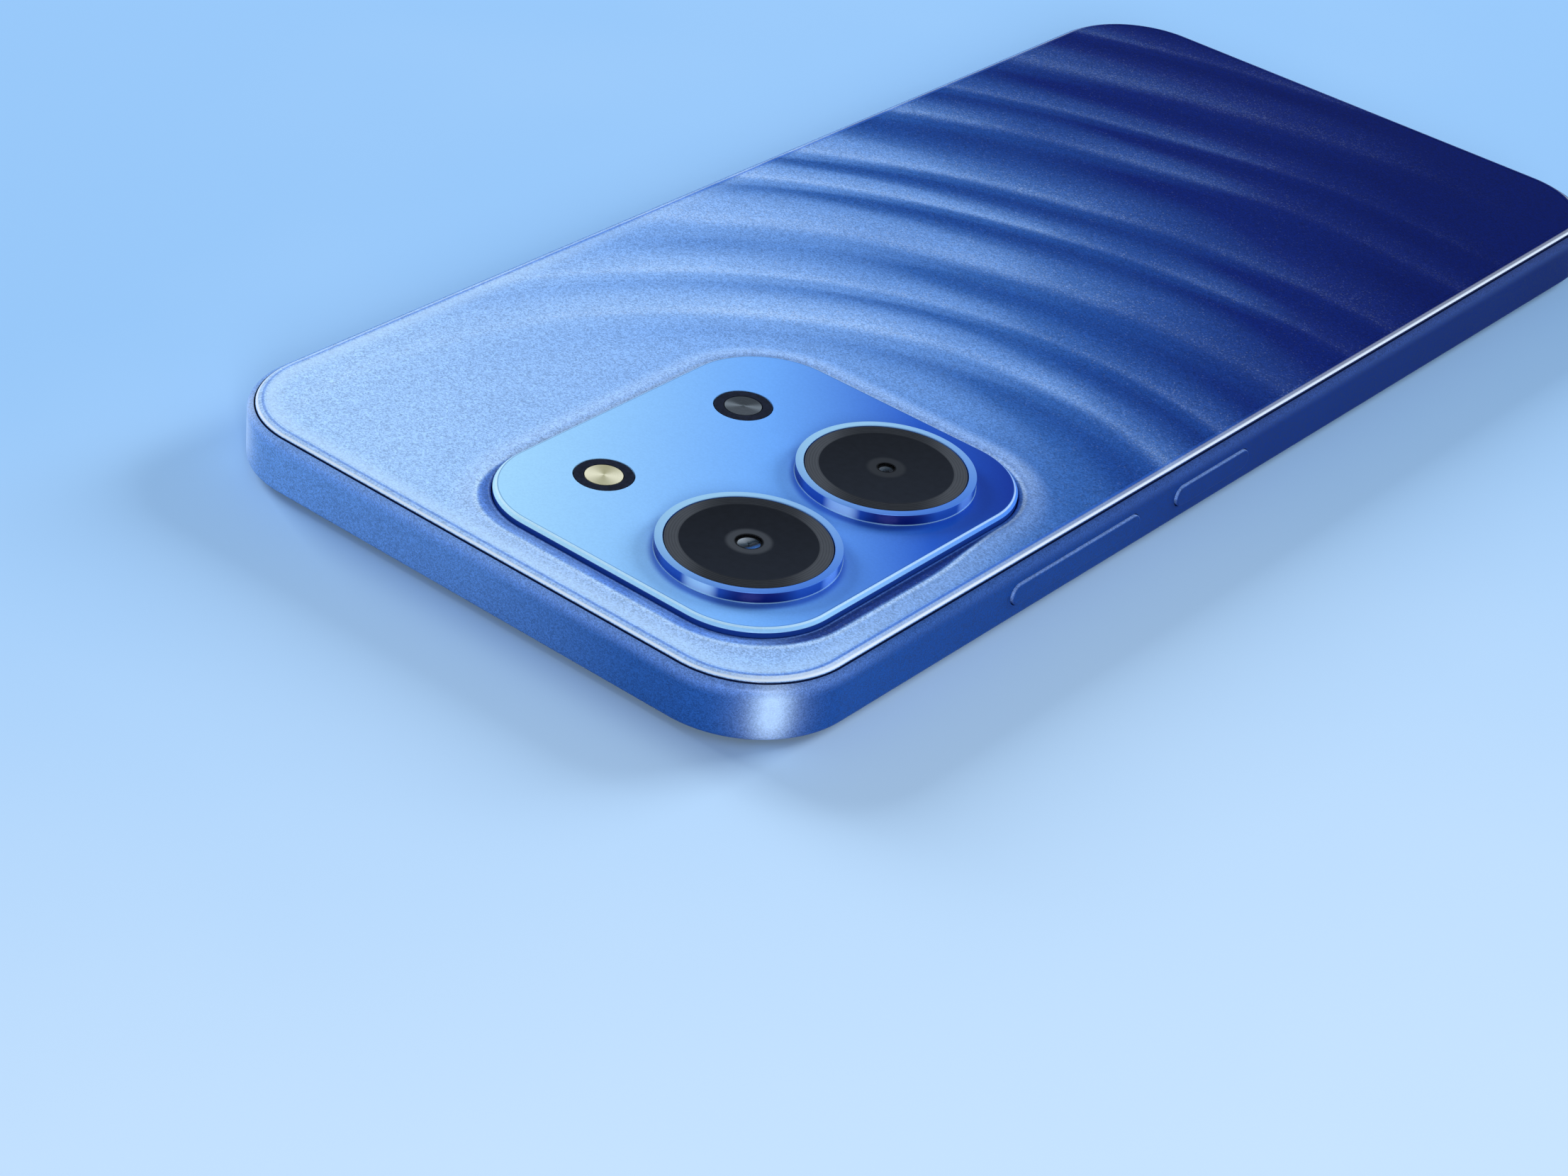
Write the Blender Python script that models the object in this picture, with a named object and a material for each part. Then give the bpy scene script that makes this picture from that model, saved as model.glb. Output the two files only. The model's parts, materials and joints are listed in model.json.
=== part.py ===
"""A slab smartphone lying on its screen, with its back and its camera island up.

Metres, +Z up. The origin is on the table under the middle of the phone, +Y points to the phone's top end
and +X to the right as one looks down on the back. The volume and power keys are on the -X side, the card
tray is on the +X side and the sockets are on the -Y end.
"""

import math

import bmesh
import bpy
from mathutils import Vector

# Overall size
PHONE_WIDTH = 0.0811
PHONE_LENGTH = 0.1732
CORNER_RADIUS = 0.0123

# Layers, from the screen face upwards
FRONT_GLASS_THICKNESS = 0.0008
GLASS_PROUD = 0.00065
FRAME_HEIGHT = 0.0064
COVER_CROWN = 0.00055
COVER_EDGE_DEPTH = 0.0004
PANEL_THICKNESS = 0.0011
FLOOR_THICKNESS = 0.0004
BOARD_THICKNESS = 0.0006

# Fits
SEAM = 0.00012
BOND = 0.0001
TAPE_THICKNESS = 0.00015
TAPE_FILM = 0.00003
SEAT_GAP = 0.0003
EDGE_LAND = 0.00003

# Frame walls and edges
WALL = 0.0023
COVER_RIM = 0.00075
GLASS_RIM = 0.00095
PANEL_RIM = 0.0026
SHOULDER_RADIUS = 0.0007
FRONT_EDGE_RADIUS = 0.0006

# Rear cover
COVER_EDGE_BAND = 0.0011
SWELL_WIDTH = 0.0036
SWELL_HEIGHT = 0.0003

# Camera island
ISLAND_WIDTH = 0.0428
ISLAND_LENGTH = 0.0492
ISLAND_CORNER = 0.0100
ISLAND_SIDE_MARGIN = 0.0057
ISLAND_TOP_MARGIN = 0.0059
ISLAND_RISE = 0.00095
ISLAND_CHAMFER = 0.00045
ISLAND_PLATE = 0.0009
ISLAND_WALL = 0.0012
ISLAND_FLANGE_WIDTH = 0.0012
ISLAND_FLANGE_THICKNESS = 0.0005
ROW_PITCH = 0.0228
LENS_COLUMN = -0.0082
LAMP_COLUMN = 0.0120

# Lens rings and their windows
RING_RADIUS = 0.0099
RING_RISE = 0.0013
RING_RIM = 0.00095
RING_BEVEL = 0.00012
RING_LEDGE = 0.0008
RING_SKIRT = 0.0008
RING_SKIRT_DEPTH = 0.0014
WINDOW_THICKNESS = 0.0007
WINDOW_RECESS = 0.00006

# Flash and sensor windows
LAMP_RADIUS = 0.00324
LAMP_BEZEL = 0.00107
LAMP_LEDGE = 0.0005
LAMP_FLANGE = 0.0008
LAMP_FLANGE_THICKNESS = 0.0004
LAMP_LENS_THICKNESS = 0.0009
LIGHT_PIPE_RADIUS = 0.0013
CHIP_SIDE = 0.0026
CHIP_HEIGHT = 0.0007

# Camera modules
MAIN_MODULE_SIDE = 0.0120
SECOND_MODULE_SIDE = 0.0098
MODULE_HEIGHT = 0.0033
MAIN_BARREL_RADIUS = 0.0040
SECOND_BARREL_RADIUS = 0.0030
BARREL_CLEARANCE = 0.0004
LENS_ELEMENT_RADIUS = 0.0019
LENS_ELEMENT_CROWN = 0.0003
SEAL_WIDTH = 0.0012

# Side keys
VOLUME_KEY_LENGTH = 0.0234
POWER_KEY_LENGTH = 0.0145
KEY_HEIGHT = 0.0025
KEY_PROUD = 0.00035
KEY_EDGE = 0.0002
KEY_DROP = 0.0033
KEY_TRAVEL = 0.00025
VOLUME_KEY_FROM_TOP = 0.0520
POWER_KEY_FROM_TOP = 0.0781
KEY_WALL = 0.0012
KEY_EAR_GAP = 0.0003
KEY_EAR_THICKNESS = 0.0005
KEY_EAR_LENGTH = 0.0012
KEY_NUB_RADIUS = 0.0006
KEY_NUB_LENGTH = 0.0005
VOLUME_NUB_OFFSET = 0.0070
SWITCH_GAP = 0.0004
SWITCH_THICKNESS = 0.0005
SWITCH_LENGTH = 0.0030
SWITCH_HEIGHT = 0.0017
KEY_FLEX_THICKNESS = 0.00015
KEY_BRACKET_THICKNESS = 0.0004
KEY_BRACKET_HEIGHT = 0.0028

# Card tray and its reader
TRAY_FROM_TOP = 0.0312
TRAY_HEAD_LENGTH = 0.0168
TRAY_HEAD_HEIGHT = 0.0024
TRAY_HEAD_DEPTH = 0.0009
TRAY_WIDTH = 0.0142
TRAY_THICKNESS = 0.0012
TRAY_RIB = 0.0012
NANO_CARD_WIDTH = 0.0089
NANO_CARD_LENGTH = 0.0124
MEMORY_CARD_WIDTH = 0.0111
MEMORY_CARD_LENGTH = 0.0151
CARD_RECESS = 0.0008
CARD_LEDGE = 0.0009
EJECT_HOLE_RADIUS = 0.0004
TRAY_CLEARANCE = 0.0002
READER_WALL = 0.0010
READER_PLATE = 0.0002

# Boards, shields, brackets and screws
BOARD_MARGIN = 0.0030
BOARD_CORNER = 0.0020
SHIELD_HEIGHT = 0.0013
SHIELD_SKIN = 0.0002
BRACKET_FROM_EARPIECE = 0.00395
BRACKET_THICKNESS = 0.0006
BOSS_RADIUS = 0.0015
BOSS_HEIGHT = 0.0022
SCREW_HEAD_RADIUS = 0.0011
SCREW_HEAD_HEIGHT = 0.0004
SCREW_CROWN_RADIUS = 0.0008
SCREW_RIM_HEIGHT = 0.00025
SCREW_SHANK_RADIUS = 0.0006
SCREW_LENGTH = 0.0014
SCREW_INSET = 0.0022

# Battery and the leads beside it
BATTERY_SIDE_GAP = 0.0008
BATTERY_EDGE = 0.0008
BATTERY_CORNER = 0.0025
BATTERY_COVER_GAP = 0.0002
PLUG_INSET = 0.0120
PLUG_LENGTH = 0.0100
PLUG_WIDTH = 0.0036
PLUG_HEIGHT = 0.0009
FLEX_LANE = 0.0042
FLEX_WIDTH = 0.0030
FLEX_THICKNESS = 0.0002
FLEX_RAMP = 0.0022
FLEX_LAP = 0.0040

# Bottom end
USB_MOUTH_WIDTH = 0.00834
USB_MOUTH_HEIGHT = 0.00256
USB_SHELL = 0.0003
USB_DEPTH = 0.0073
USB_TONGUE_WIDTH = 0.0067
USB_TONGUE_THICKNESS = 0.0007
USB_TONGUE_LENGTH = 0.0048
JACK_X = 0.0220
JACK_BORE_RADIUS = 0.00178
JACK_WALL = 0.0002
JACK_WIDTH = 0.0060
JACK_DEPTH = 0.0130
MICROPHONE_X = 0.0105
MICROPHONE_HOLE_RADIUS = 0.0005
SPEAKER_WIDTH = 0.0240
SPEAKER_LENGTH = 0.0180
SPEAKER_MOUTH_DEPTH = 0.0060
SPEAKER_MOUTH_MARGIN = 0.0003
SPEAKER_HOLE_RADIUS = 0.0007
SPEAKER_HOLE_PITCH = 0.0022
SPEAKER_HOLES = 6
SPEAKER_LUG = 0.0044
MOTOR_RADIUS = 0.0042
MOTOR_HEIGHT = 0.0026

# Front of the phone
GLASS_EDGE = 0.0004
PANEL_CHIN = 0.0040
EARPIECE_SLOT_LENGTH = 0.0120
EARPIECE_SLOT_WIDTH = 0.0006
EARPIECE_DEPTH = 0.0034
EARPIECE_HEIGHT = 0.0026
FRONT_CAMERA_FROM_TOP = 0.0100
FRONT_BARREL_RADIUS = 0.0020
FRONT_MODULE_SIDE = 0.0060
FRONT_MODULE_HEIGHT = 0.0022

# Facets
CORNER_STEPS = 7
FILLET_STEPS = 4
SWELL_STEPS = 6
STADIUM_STEPS = 6
RING_STEPS = 40
BARREL_STEPS = 24
SMALL_STEPS = 16
PIN_STEPS = 12
SHARP_ANGLE = math.radians(30)

# How far a cutter reaches past the surface that it opens
OVERCUT = 0.001

# Heights worked out from the layers
RIM_Z = GLASS_PROUD
PARTING_Z = RIM_Z + FRAME_HEIGHT
COVER_TOP = PARTING_Z + COVER_CROWN
COVER_UNDER = PARTING_Z - COVER_EDGE_DEPTH
SHELF_Z = COVER_UNDER - TAPE_THICKNESS
GLASS_SHELF_Z = FRONT_GLASS_THICKNESS + TAPE_THICKNESS
PANEL_Z = FRONT_GLASS_THICKNESS + BOND
PANEL_TOP = PANEL_Z + PANEL_THICKNESS
FLOOR_UNDER = PANEL_TOP + BOND
FLOOR_TOP = FLOOR_UNDER + FLOOR_THICKNESS
SEAT_Z = FLOOR_TOP + BOND
BOARD_TOP = SEAT_Z + BOARD_THICKNESS
CHIP_Z = BOARD_TOP + BOND
BOSS_TOP = FLOOR_TOP + BOSS_HEIGHT
BRACKET_Z = BOSS_TOP + BOND
BRACKET_TOP = BRACKET_Z + BRACKET_THICKNESS
BAY_TOP = COVER_UNDER - BATTERY_COVER_GAP
ISLAND_TOP = COVER_TOP + ISLAND_RISE
ISLAND_CEILING = ISLAND_TOP - ISLAND_PLATE
ISLAND_FLANGE_TOP = COVER_UNDER - BOND
RING_TOP = ISLAND_TOP + RING_RISE
WINDOW_TOP = RING_TOP - WINDOW_RECESS
WINDOW_UNDER = WINDOW_TOP - WINDOW_THICKNESS
BARREL_TOP = WINDOW_UNDER - BARREL_CLEARANCE - LENS_ELEMENT_CROWN
KEY_Z = PARTING_Z - KEY_DROP
EAR_LOW = SEAT_Z + BOND
EAR_HIGH = KEY_Z + KEY_HEIGHT / 2
NUB_Z = (EAR_LOW + EAR_HIGH) / 2
SOCKET_Z = PANEL_TOP + SEAT_GAP / 2 + JACK_WALL + JACK_BORE_RADIUS

# Depths of a key's pieces, from the outer wall inwards
EAR_DEPTH = KEY_WALL + KEY_EAR_GAP
NUB_DEPTH = EAR_DEPTH + KEY_EAR_THICKNESS
SWITCH_DEPTH = NUB_DEPTH + KEY_NUB_LENGTH + SWITCH_GAP
KEY_FLEX_DEPTH = SWITCH_DEPTH + SWITCH_THICKNESS + BOND
KEY_BRACKET_DEPTH = KEY_FLEX_DEPTH + KEY_FLEX_THICKNESS + BOND
KEY_BAY = KEY_BRACKET_DEPTH + KEY_BRACKET_THICKNESS + SEAT_GAP

# Places worked out from the sizes
HALF_WIDTH = PHONE_WIDTH / 2
HALF_LENGTH = PHONE_LENGTH / 2
INNER_X = HALF_WIDTH - WALL
INNER_Y = HALF_LENGTH - WALL
INNER_CORNER = CORNER_RADIUS - WALL
BAY_X = INNER_X - SEAT_GAP
BAY_Y = INNER_Y - SEAT_GAP
ISLAND_X = -HALF_WIDTH + COVER_RIM + ISLAND_SIDE_MARGIN + ISLAND_WIDTH / 2
ISLAND_Y = HALF_LENGTH - COVER_RIM - ISLAND_TOP_MARGIN - ISLAND_LENGTH / 2
LENS_X = ISLAND_X + LENS_COLUMN
LAMP_X = ISLAND_X + LAMP_COLUMN
UPPER_ROW = ISLAND_Y + ROW_PITCH / 2
LOWER_ROW = ISLAND_Y - ROW_PITCH / 2
RING_BORE = RING_RADIUS - RING_RIM
RING_SEAT_RADIUS = RING_BORE - RING_LEDGE
SKIRT_RADIUS = RING_SEAT_RADIUS + RING_SKIRT
LAMP_BORE = LAMP_RADIUS - LAMP_BEZEL
VOLUME_KEY_Y = HALF_LENGTH - VOLUME_KEY_FROM_TOP
POWER_KEY_Y = HALF_LENGTH - POWER_KEY_FROM_TOP
TRAY_Y = HALF_LENGTH - TRAY_FROM_TOP
TRAY_Z = SEAT_Z + READER_PLATE + TRAY_CLEARANCE + TRAY_THICKNESS / 2
TRAY_LENGTH = 2 * NANO_CARD_WIDTH + MEMORY_CARD_LENGTH + 4 * TRAY_RIB
TRAY_END_X = HALF_WIDTH - TRAY_HEAD_DEPTH - TRAY_LENGTH
READER_LOW_X = TRAY_END_X - SEAT_GAP - READER_WALL
READER_HALF_Y = TRAY_WIDTH / 2 + TRAY_CLEARANCE + READER_WALL
BOARD_LEFT = -HALF_WIDTH + KEY_BAY
BOARD_LOW = ISLAND_Y - ISLAND_LENGTH / 2 - ISLAND_FLANGE_WIDTH - BOARD_MARGIN
BRACKET_LEFT = EARPIECE_SLOT_LENGTH / 2 + BRACKET_FROM_EARPIECE
SPEAKER_LEFT = -BAY_X
SPEAKER_RIGHT = SPEAKER_LEFT + SPEAKER_WIDTH
SPEAKER_HIGH = -BAY_Y + SPEAKER_LENGTH
SPEAKER_X = (SPEAKER_LEFT + SPEAKER_RIGHT) / 2
MOTOR_Y = SPEAKER_HIGH + SEAT_GAP + MOTOR_RADIUS
LOWER_ZONE_TOP = MOTOR_Y + MOTOR_RADIUS + SEAT_GAP
LOWER_BOARD_LEFT = SPEAKER_RIGHT + SEAT_GAP
JACK_END_Y = -BAY_Y + JACK_DEPTH
USB_MOUTH_Y = -HALF_LENGTH + SEAT_GAP
USB_BACK_Y = USB_MOUTH_Y + USB_DEPTH
FRONT_CAMERA_Y = HALF_LENGTH - FRONT_CAMERA_FROM_TOP
EARPIECE_Y = HALF_LENGTH - GLASS_RIM - SEAM - EARPIECE_SLOT_WIDTH / 2
LANE_SCREW_X = INNER_X - FLEX_LANE - SCREW_INSET
BATTERY_LEFT = BOARD_LEFT + BATTERY_SIDE_GAP
BATTERY_RIGHT = INNER_X - FLEX_LANE
BATTERY_LOW = LOWER_ZONE_TOP + SEAT_GAP
BATTERY_HIGH = BOARD_LOW - SEAT_GAP

# Finishes: colour, roughness, metallic
FINISHES = {
    "frame_blue": ((0.050, 0.140, 0.450), 0.45, 0.3),
    "cover_blue": ((0.200, 0.420, 0.850), 0.40, 0.0),
    "island_blue": ((0.120, 0.360, 0.900), 0.12, 0.2),
    "ring_blue": ((0.150, 0.350, 0.850), 0.15, 0.9),
    "black_glass": ((0.008, 0.009, 0.011), 0.05, 0.0),
    "lens_glass": ((0.020, 0.020, 0.025), 0.03, 0.0),
    "flash_cream": ((0.750, 0.700, 0.500), 0.30, 0.0),
    "black_plastic": ((0.015, 0.015, 0.017), 0.50, 0.0),
    "grey_mesh": ((0.100, 0.100, 0.110), 0.55, 0.0),
    "board_green": ((0.010, 0.060, 0.040), 0.50, 0.0),
    "flex_amber": ((0.300, 0.120, 0.020), 0.40, 0.0),
    "battery_foil": ((0.030, 0.030, 0.035), 0.60, 0.0),
    "steel": ((0.550, 0.550, 0.570), 0.30, 1.0),
    "glue_tape": ((0.020, 0.020, 0.020), 0.90, 0.0),
    "foam": ((0.030, 0.030, 0.030), 0.95, 0.0),
    "chip_white": ((0.800, 0.780, 0.700), 0.60, 0.0),
}


def clear_scene():
    for old in list(bpy.data.objects):
        bpy.data.objects.remove(old)


def make_finishes():
    for name, (colour, roughness, metallic) in FINISHES.items():
        material = bpy.data.materials.new(name)
        material.use_nodes = True
        shader = material.node_tree.nodes["Principled BSDF"]
        shader.inputs["Base Color"].default_value = (*colour, 1.0)
        shader.inputs["Roughness"].default_value = roughness
        shader.inputs["Metallic"].default_value = metallic


# Flat outlines, drawn anticlockwise


def rounded_outline(low_x, high_x, low_y, high_y, radii, steps=CORNER_STEPS):
    """A rectangle with round corners. radii starts at the lower right corner and goes anticlockwise."""
    signs = ((1, -1), (1, 1), (-1, 1), (-1, -1))
    points = []
    for quarter, ((sign_x, sign_y), radius) in enumerate(zip(signs, radii)):
        corner = Vector((high_x if sign_x > 0 else low_x, high_y if sign_y > 0 else low_y))
        centre = corner - radius * Vector((sign_x, sign_y))
        for step in range(steps + 1 if radius else 1):
            angle = math.radians(90 * (quarter - 1 + step / steps))
            points.append(centre + radius * Vector((math.cos(angle), math.sin(angle))))
    return points


def inset_outline(width, length, radius, inset, x=0.0, y=0.0):
    """A rounded rectangle taken in by inset, with its corner arcs kept on the same centres."""
    half_x, half_y = width / 2 - inset, length / 2 - inset
    return rounded_outline(x - half_x, x + half_x, y - half_y, y + half_y, (radius - inset,) * 4)


def phone_outline(inset):
    return inset_outline(PHONE_WIDTH, PHONE_LENGTH, CORNER_RADIUS, inset)


def island_outline(inset):
    return inset_outline(ISLAND_WIDTH, ISLAND_LENGTH, ISLAND_CORNER, inset, ISLAND_X, ISLAND_Y)


def box_outline(low_x, high_x, low_y, high_y):
    return rounded_outline(low_x, high_x, low_y, high_y, (0, 0, 0, 0))


def stadium_outline(length, height, x=0.0, y=0.0, inset=0.0):
    """A bar with round ends."""
    radius = height / 2 - inset
    half = length / 2 - inset - radius
    points = []
    for side, start in ((1, -90), (-1, 90)):
        for step in range(2 * STADIUM_STEPS + 1):
            angle = math.radians(start + 90 * step / STADIUM_STEPS)
            points.append(Vector((x + side * half + radius * math.cos(angle), y + radius * math.sin(angle))))
    return points


def circle_outline(radius, steps, x=0.0, y=0.0):
    turns = [2 * math.pi * step / steps for step in range(steps)]
    return [Vector((x + radius * math.cos(turn), y + radius * math.sin(turn))) for turn in turns]


def fillet(start, end, corner):
    """A quarter ellipse from start to end that is tangent to the lines through corner."""
    start, end, corner = Vector(start), Vector(end), Vector(corner)
    centre = start + end - corner
    turns = [math.pi / 2 * step / FILLET_STEPS for step in range(FILLET_STEPS + 1)]
    return [centre + (start - centre) * math.cos(turn) + (end - centre) * math.sin(turn) for turn in turns]


# Planes that an outline is drawn on, and the depth along the plane's normal


def lying(point, depth):
    return Vector((point.x, point.y, depth))


def facing_x(point, depth):
    return Vector((depth, point.x, point.y))


def facing_y(point, depth):
    return Vector((point.x, depth, point.y))


# Lofts: stacks of loops in space, each loop with the same number of points


def stack(sections, plane=lying):
    return [[plane(point, depth) for point in outline] for outline, depth in sections]


def slab(outline, low, high, plane=lying):
    return stack([(outline, low), (outline, high)], plane)


def brick(low, high):
    return slab(box_outline(low[0], high[0], low[1], high[1]), low[2], high[2])


def turned(profile, steps, x, y):
    """A loft turned about an upright axis at (x, y) from (radius, height) points."""
    return stack([(circle_outline(radius, steps, x, y), z) for radius, z in profile])


def add_skin(bm, loops, ring=False):
    """Joins each loop to the next and, as a ring, the last to the first. Returns the rows of vertices."""
    rows = [[bm.verts.new(point) for point in loop] for loop in loops]
    pairs = list(zip(rows, rows[1:]))
    if ring:
        pairs.append((rows[-1], rows[0]))
    for lower, upper in pairs:
        for i in range(len(lower)):
            j = (i + 1) % len(lower)
            bm.faces.new((lower[i], lower[j], upper[j], upper[i]))
    return rows


def add_solid(bm, loops):
    """A loft closed by a cap at each end."""
    rows = add_skin(bm, loops)
    bm.faces.new(rows[0])
    bm.faces.new(rows[-1])


def make_object(name, bm, finish=None, origin=(0, 0, 0)):
    """Turns world-space geometry into an object with its origin where it is wanted."""
    origin = Vector(origin)
    bmesh.ops.translate(bm, vec=-origin, verts=bm.verts)
    bmesh.ops.recalc_face_normals(bm, faces=bm.faces)
    mesh = bpy.data.meshes.new(name)
    bm.to_mesh(mesh)
    bm.free()
    mesh.shade_smooth()
    mesh.set_sharp_from_angle(angle=SHARP_ANGLE)
    item = bpy.data.objects.new(name, mesh)
    bpy.context.scene.collection.objects.link(item)
    item.location = origin
    item.parent = bpy.data.objects["phone"]
    if finish:
        mesh.materials.append(bpy.data.materials[finish])
    return item


def solid(name, loops, finish, origin=(0, 0, 0)):
    bm = bmesh.new()
    add_solid(bm, loops)
    return make_object(name, bm, finish, origin)


def ring(name, loops, finish):
    """A loft that closes on itself, such as a frame or a turned ring."""
    bm = bmesh.new()
    add_skin(bm, loops, ring=True)
    return make_object(name, bm, finish)


def combine(piece, name, lofts, operation):
    """Cuts lofts that stand apart out of piece, or joins them to it, and leaves them as a hidden guide."""
    bm = bmesh.new()
    for loops in lofts:
        add_solid(bm, loops)
    tool = make_object(name, bm)
    tool.hide_render = True
    tool.display_type = "WIRE"
    modifier = piece.modifiers.new(name, "BOOLEAN")
    modifier.operation = operation
    modifier.solver = "EXACT"
    modifier.object = tool


def cut(piece, name, *lofts):
    combine(piece, name, lofts, "DIFFERENCE")


def join(piece, name, *lofts):
    combine(piece, name, lofts, "UNION")


# Screw places


def upper_screws():
    low = BOARD_LOW + SEAT_GAP + SCREW_INSET
    left = BRACKET_LEFT + SCREW_INSET
    return [(left, low), (LANE_SCREW_X, low), (left, BAY_Y - SCREW_INSET),
            (BAY_X - SCREW_INSET, INNER_Y - INNER_CORNER)]


def lower_screws():
    high = LOWER_ZONE_TOP - SEAT_GAP - SCREW_INSET
    return [(LOWER_BOARD_LEFT + SCREW_INSET, high), (LANE_SCREW_X, high)]


def speaker_screws():
    y = SPEAKER_HIGH + SPEAKER_LUG / 2
    return [(SPEAKER_LEFT + SPEAKER_LUG / 2, y), (SPEAKER_RIGHT - SPEAKER_LUG / 2, y)]


def all_screws():
    return upper_screws() + lower_screws() + speaker_screws()


# Frame


def frame_section():
    """The frame's section as (inset from the outer wall, height): the bay, round the rim, and the front."""
    shoulder = min(SHOULDER_RADIUS, COVER_RIM - EDGE_LAND)
    edge = min(FRONT_EDGE_RADIUS, GLASS_RIM - EDGE_LAND)
    section = [(WALL, FLOOR_TOP), (WALL, SHELF_Z), (COVER_RIM, SHELF_Z), (COVER_RIM, PARTING_Z)]
    section += fillet((shoulder, PARTING_Z), (0, PARTING_Z - shoulder), (0, PARTING_Z))
    section += fillet((0, RIM_Z + edge), (edge, RIM_Z), (0, RIM_Z))
    section += [(GLASS_RIM, RIM_Z), (GLASS_RIM, GLASS_SHELF_Z), (PANEL_RIM, GLASS_SHELF_Z),
                (PANEL_RIM, FLOOR_UNDER)]
    return section


def key_slot(length, y):
    """The slot in the side wall that a key's bar passes through."""
    outline = stadium_outline(length + 2 * SEAM, KEY_HEIGHT + 2 * SEAM, y, KEY_Z)
    inner = -HALF_WIDTH + EAR_DEPTH + BOND + KEY_TRAVEL + BOND
    return slab(outline, -HALF_WIDTH - OVERCUT, inner, facing_x)


def key_pocket(length, y):
    """The hollow behind the slot, where the key's ears lie."""
    half = length / 2 + KEY_EAR_LENGTH + SEAT_GAP
    return brick((-HALF_WIDTH + KEY_WALL, y - half, SEAT_Z),
                 (-INNER_X + OVERCUT, y + half, EAR_HIGH + SEAT_GAP))


def tray_head_recess():
    outline = stadium_outline(TRAY_HEAD_LENGTH + 2 * SEAM, TRAY_HEAD_HEIGHT + 2 * SEAM, TRAY_Y, TRAY_Z)
    return slab(outline, HALF_WIDTH - TRAY_HEAD_DEPTH - SEAM, HALF_WIDTH + OVERCUT, facing_x)


def tray_slot():
    half_y, half_z = TRAY_WIDTH / 2 + TRAY_CLEARANCE, TRAY_THICKNESS / 2 + TRAY_CLEARANCE
    return brick((INNER_X - OVERCUT, TRAY_Y - half_y, TRAY_Z - half_z),
                 (HALF_WIDTH, TRAY_Y + half_y, TRAY_Z + half_z))


def end_hole(x, radius, steps=PIN_STEPS):
    """A round hole through the bottom end wall."""
    return slab(circle_outline(radius, steps, x, SOCKET_Z), -HALF_LENGTH - OVERCUT, -INNER_Y + OVERCUT,
                facing_y)


def speaker_holes():
    first = SPEAKER_X - SPEAKER_HOLE_PITCH * (SPEAKER_HOLES - 1) / 2
    return [first + SPEAKER_HOLE_PITCH * hole for hole in range(SPEAKER_HOLES)]


def usb_slot():
    outline = stadium_outline(USB_MOUTH_WIDTH + 2 * USB_SHELL + 2 * SEAM,
                              USB_MOUTH_HEIGHT + 2 * USB_SHELL + 2 * SEAM, 0, SOCKET_Z)
    return slab(outline, -HALF_LENGTH - OVERCUT, -INNER_Y + OVERCUT, facing_y)


def socket_bays(low_y, low_z, high_z):
    """The room that the charging socket and the audio socket take out of the bay floor or the lower board."""
    usb_half = USB_MOUTH_WIDTH / 2 + USB_SHELL + SEAT_GAP
    jack_half = JACK_WIDTH / 2 + SEAT_GAP
    return [brick((-usb_half, low_y, low_z), (usb_half, USB_BACK_Y + SEAT_GAP, high_z)),
            brick((JACK_X - jack_half, low_y, low_z), (JACK_X + jack_half, JACK_END_Y + SEAT_GAP, high_z))]


def earpiece_duct():
    """The way for sound from the receiver in the bay to the slot in the front glass."""
    half = EARPIECE_SLOT_LENGTH / 2 - SEAT_GAP
    return brick((-half, INNER_Y - EARPIECE_DEPTH / 2, GLASS_SHELF_Z - OVERCUT),
                 (half, HALF_LENGTH - GLASS_RIM - SEAT_GAP, FLOOR_TOP + OVERCUT))


def front_camera_well():
    outline = circle_outline(FRONT_BARREL_RADIUS + SEAT_GAP, SMALL_STEPS, 0, FRONT_CAMERA_Y)
    return slab(outline, FLOOR_UNDER - OVERCUT, FLOOR_TOP + OVERCUT)


def screw_boss(x, y):
    """A screw post on the bay floor, with its blind hole."""
    hole = SCREW_SHANK_RADIUS + BOND
    depth = SCREW_LENGTH - BRACKET_THICKNESS + SEAT_GAP
    profile = [(BOSS_RADIUS, FLOOR_TOP - FLOOR_THICKNESS / 2), (BOSS_RADIUS, BOSS_TOP), (hole, BOSS_TOP),
               (hole, BOSS_TOP - depth)]
    return turned(profile, PIN_STEPS, x, y)


def mid_frame():
    loops = stack([(phone_outline(inset), z) for inset, z in frame_section()])
    frame = solid("mid_frame", loops, "frame_blue")
    join(frame, "frame_bosses", *[screw_boss(x, y) for x, y in all_screws()])
    round_holes = [end_hole(x, SPEAKER_HOLE_RADIUS) for x in speaker_holes()]
    round_holes.append(end_hole(MICROPHONE_X, MICROPHONE_HOLE_RADIUS))
    round_holes.append(end_hole(JACK_X, JACK_BORE_RADIUS + SEAM, SMALL_STEPS))
    keys = ((VOLUME_KEY_LENGTH, VOLUME_KEY_Y), (POWER_KEY_LENGTH, POWER_KEY_Y))
    slots = [key_slot(length, y) for length, y in keys]
    cut(frame, "frame_slots", *slots, *round_holes, tray_head_recess(), usb_slot(), earpiece_duct(),
        front_camera_well())
    pockets = [key_pocket(length, y) for length, y in keys]
    bays = socket_bays(-INNER_Y + SEAT_GAP / 2, FLOOR_UNDER - SEAT_GAP, FLOOR_TOP + SEAT_GAP)
    cut(frame, "frame_pockets", *pockets, *bays, tray_slot())


# Rear cover


def fill_between(bm, outer, inner):
    """Fills the flat band between two rows of vertices."""
    edges = [bm.edges.get((row[i - 1], row[i])) for row in (outer, inner) for i in range(len(row))]
    bmesh.ops.triangle_fill(bm, edges=edges, use_beauty=True)


def swell_section():
    """The low rise of the cover towards the island, as (inset from the island's wall, height)."""
    section = []
    for step in range(SWELL_STEPS + 1):
        share = step / SWELL_STEPS
        climb = share * share * (3 - 2 * share)
        section.append((-SEAM - SWELL_WIDTH * (1 - share), COVER_TOP + SWELL_HEIGHT * climb))
    return section


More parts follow.
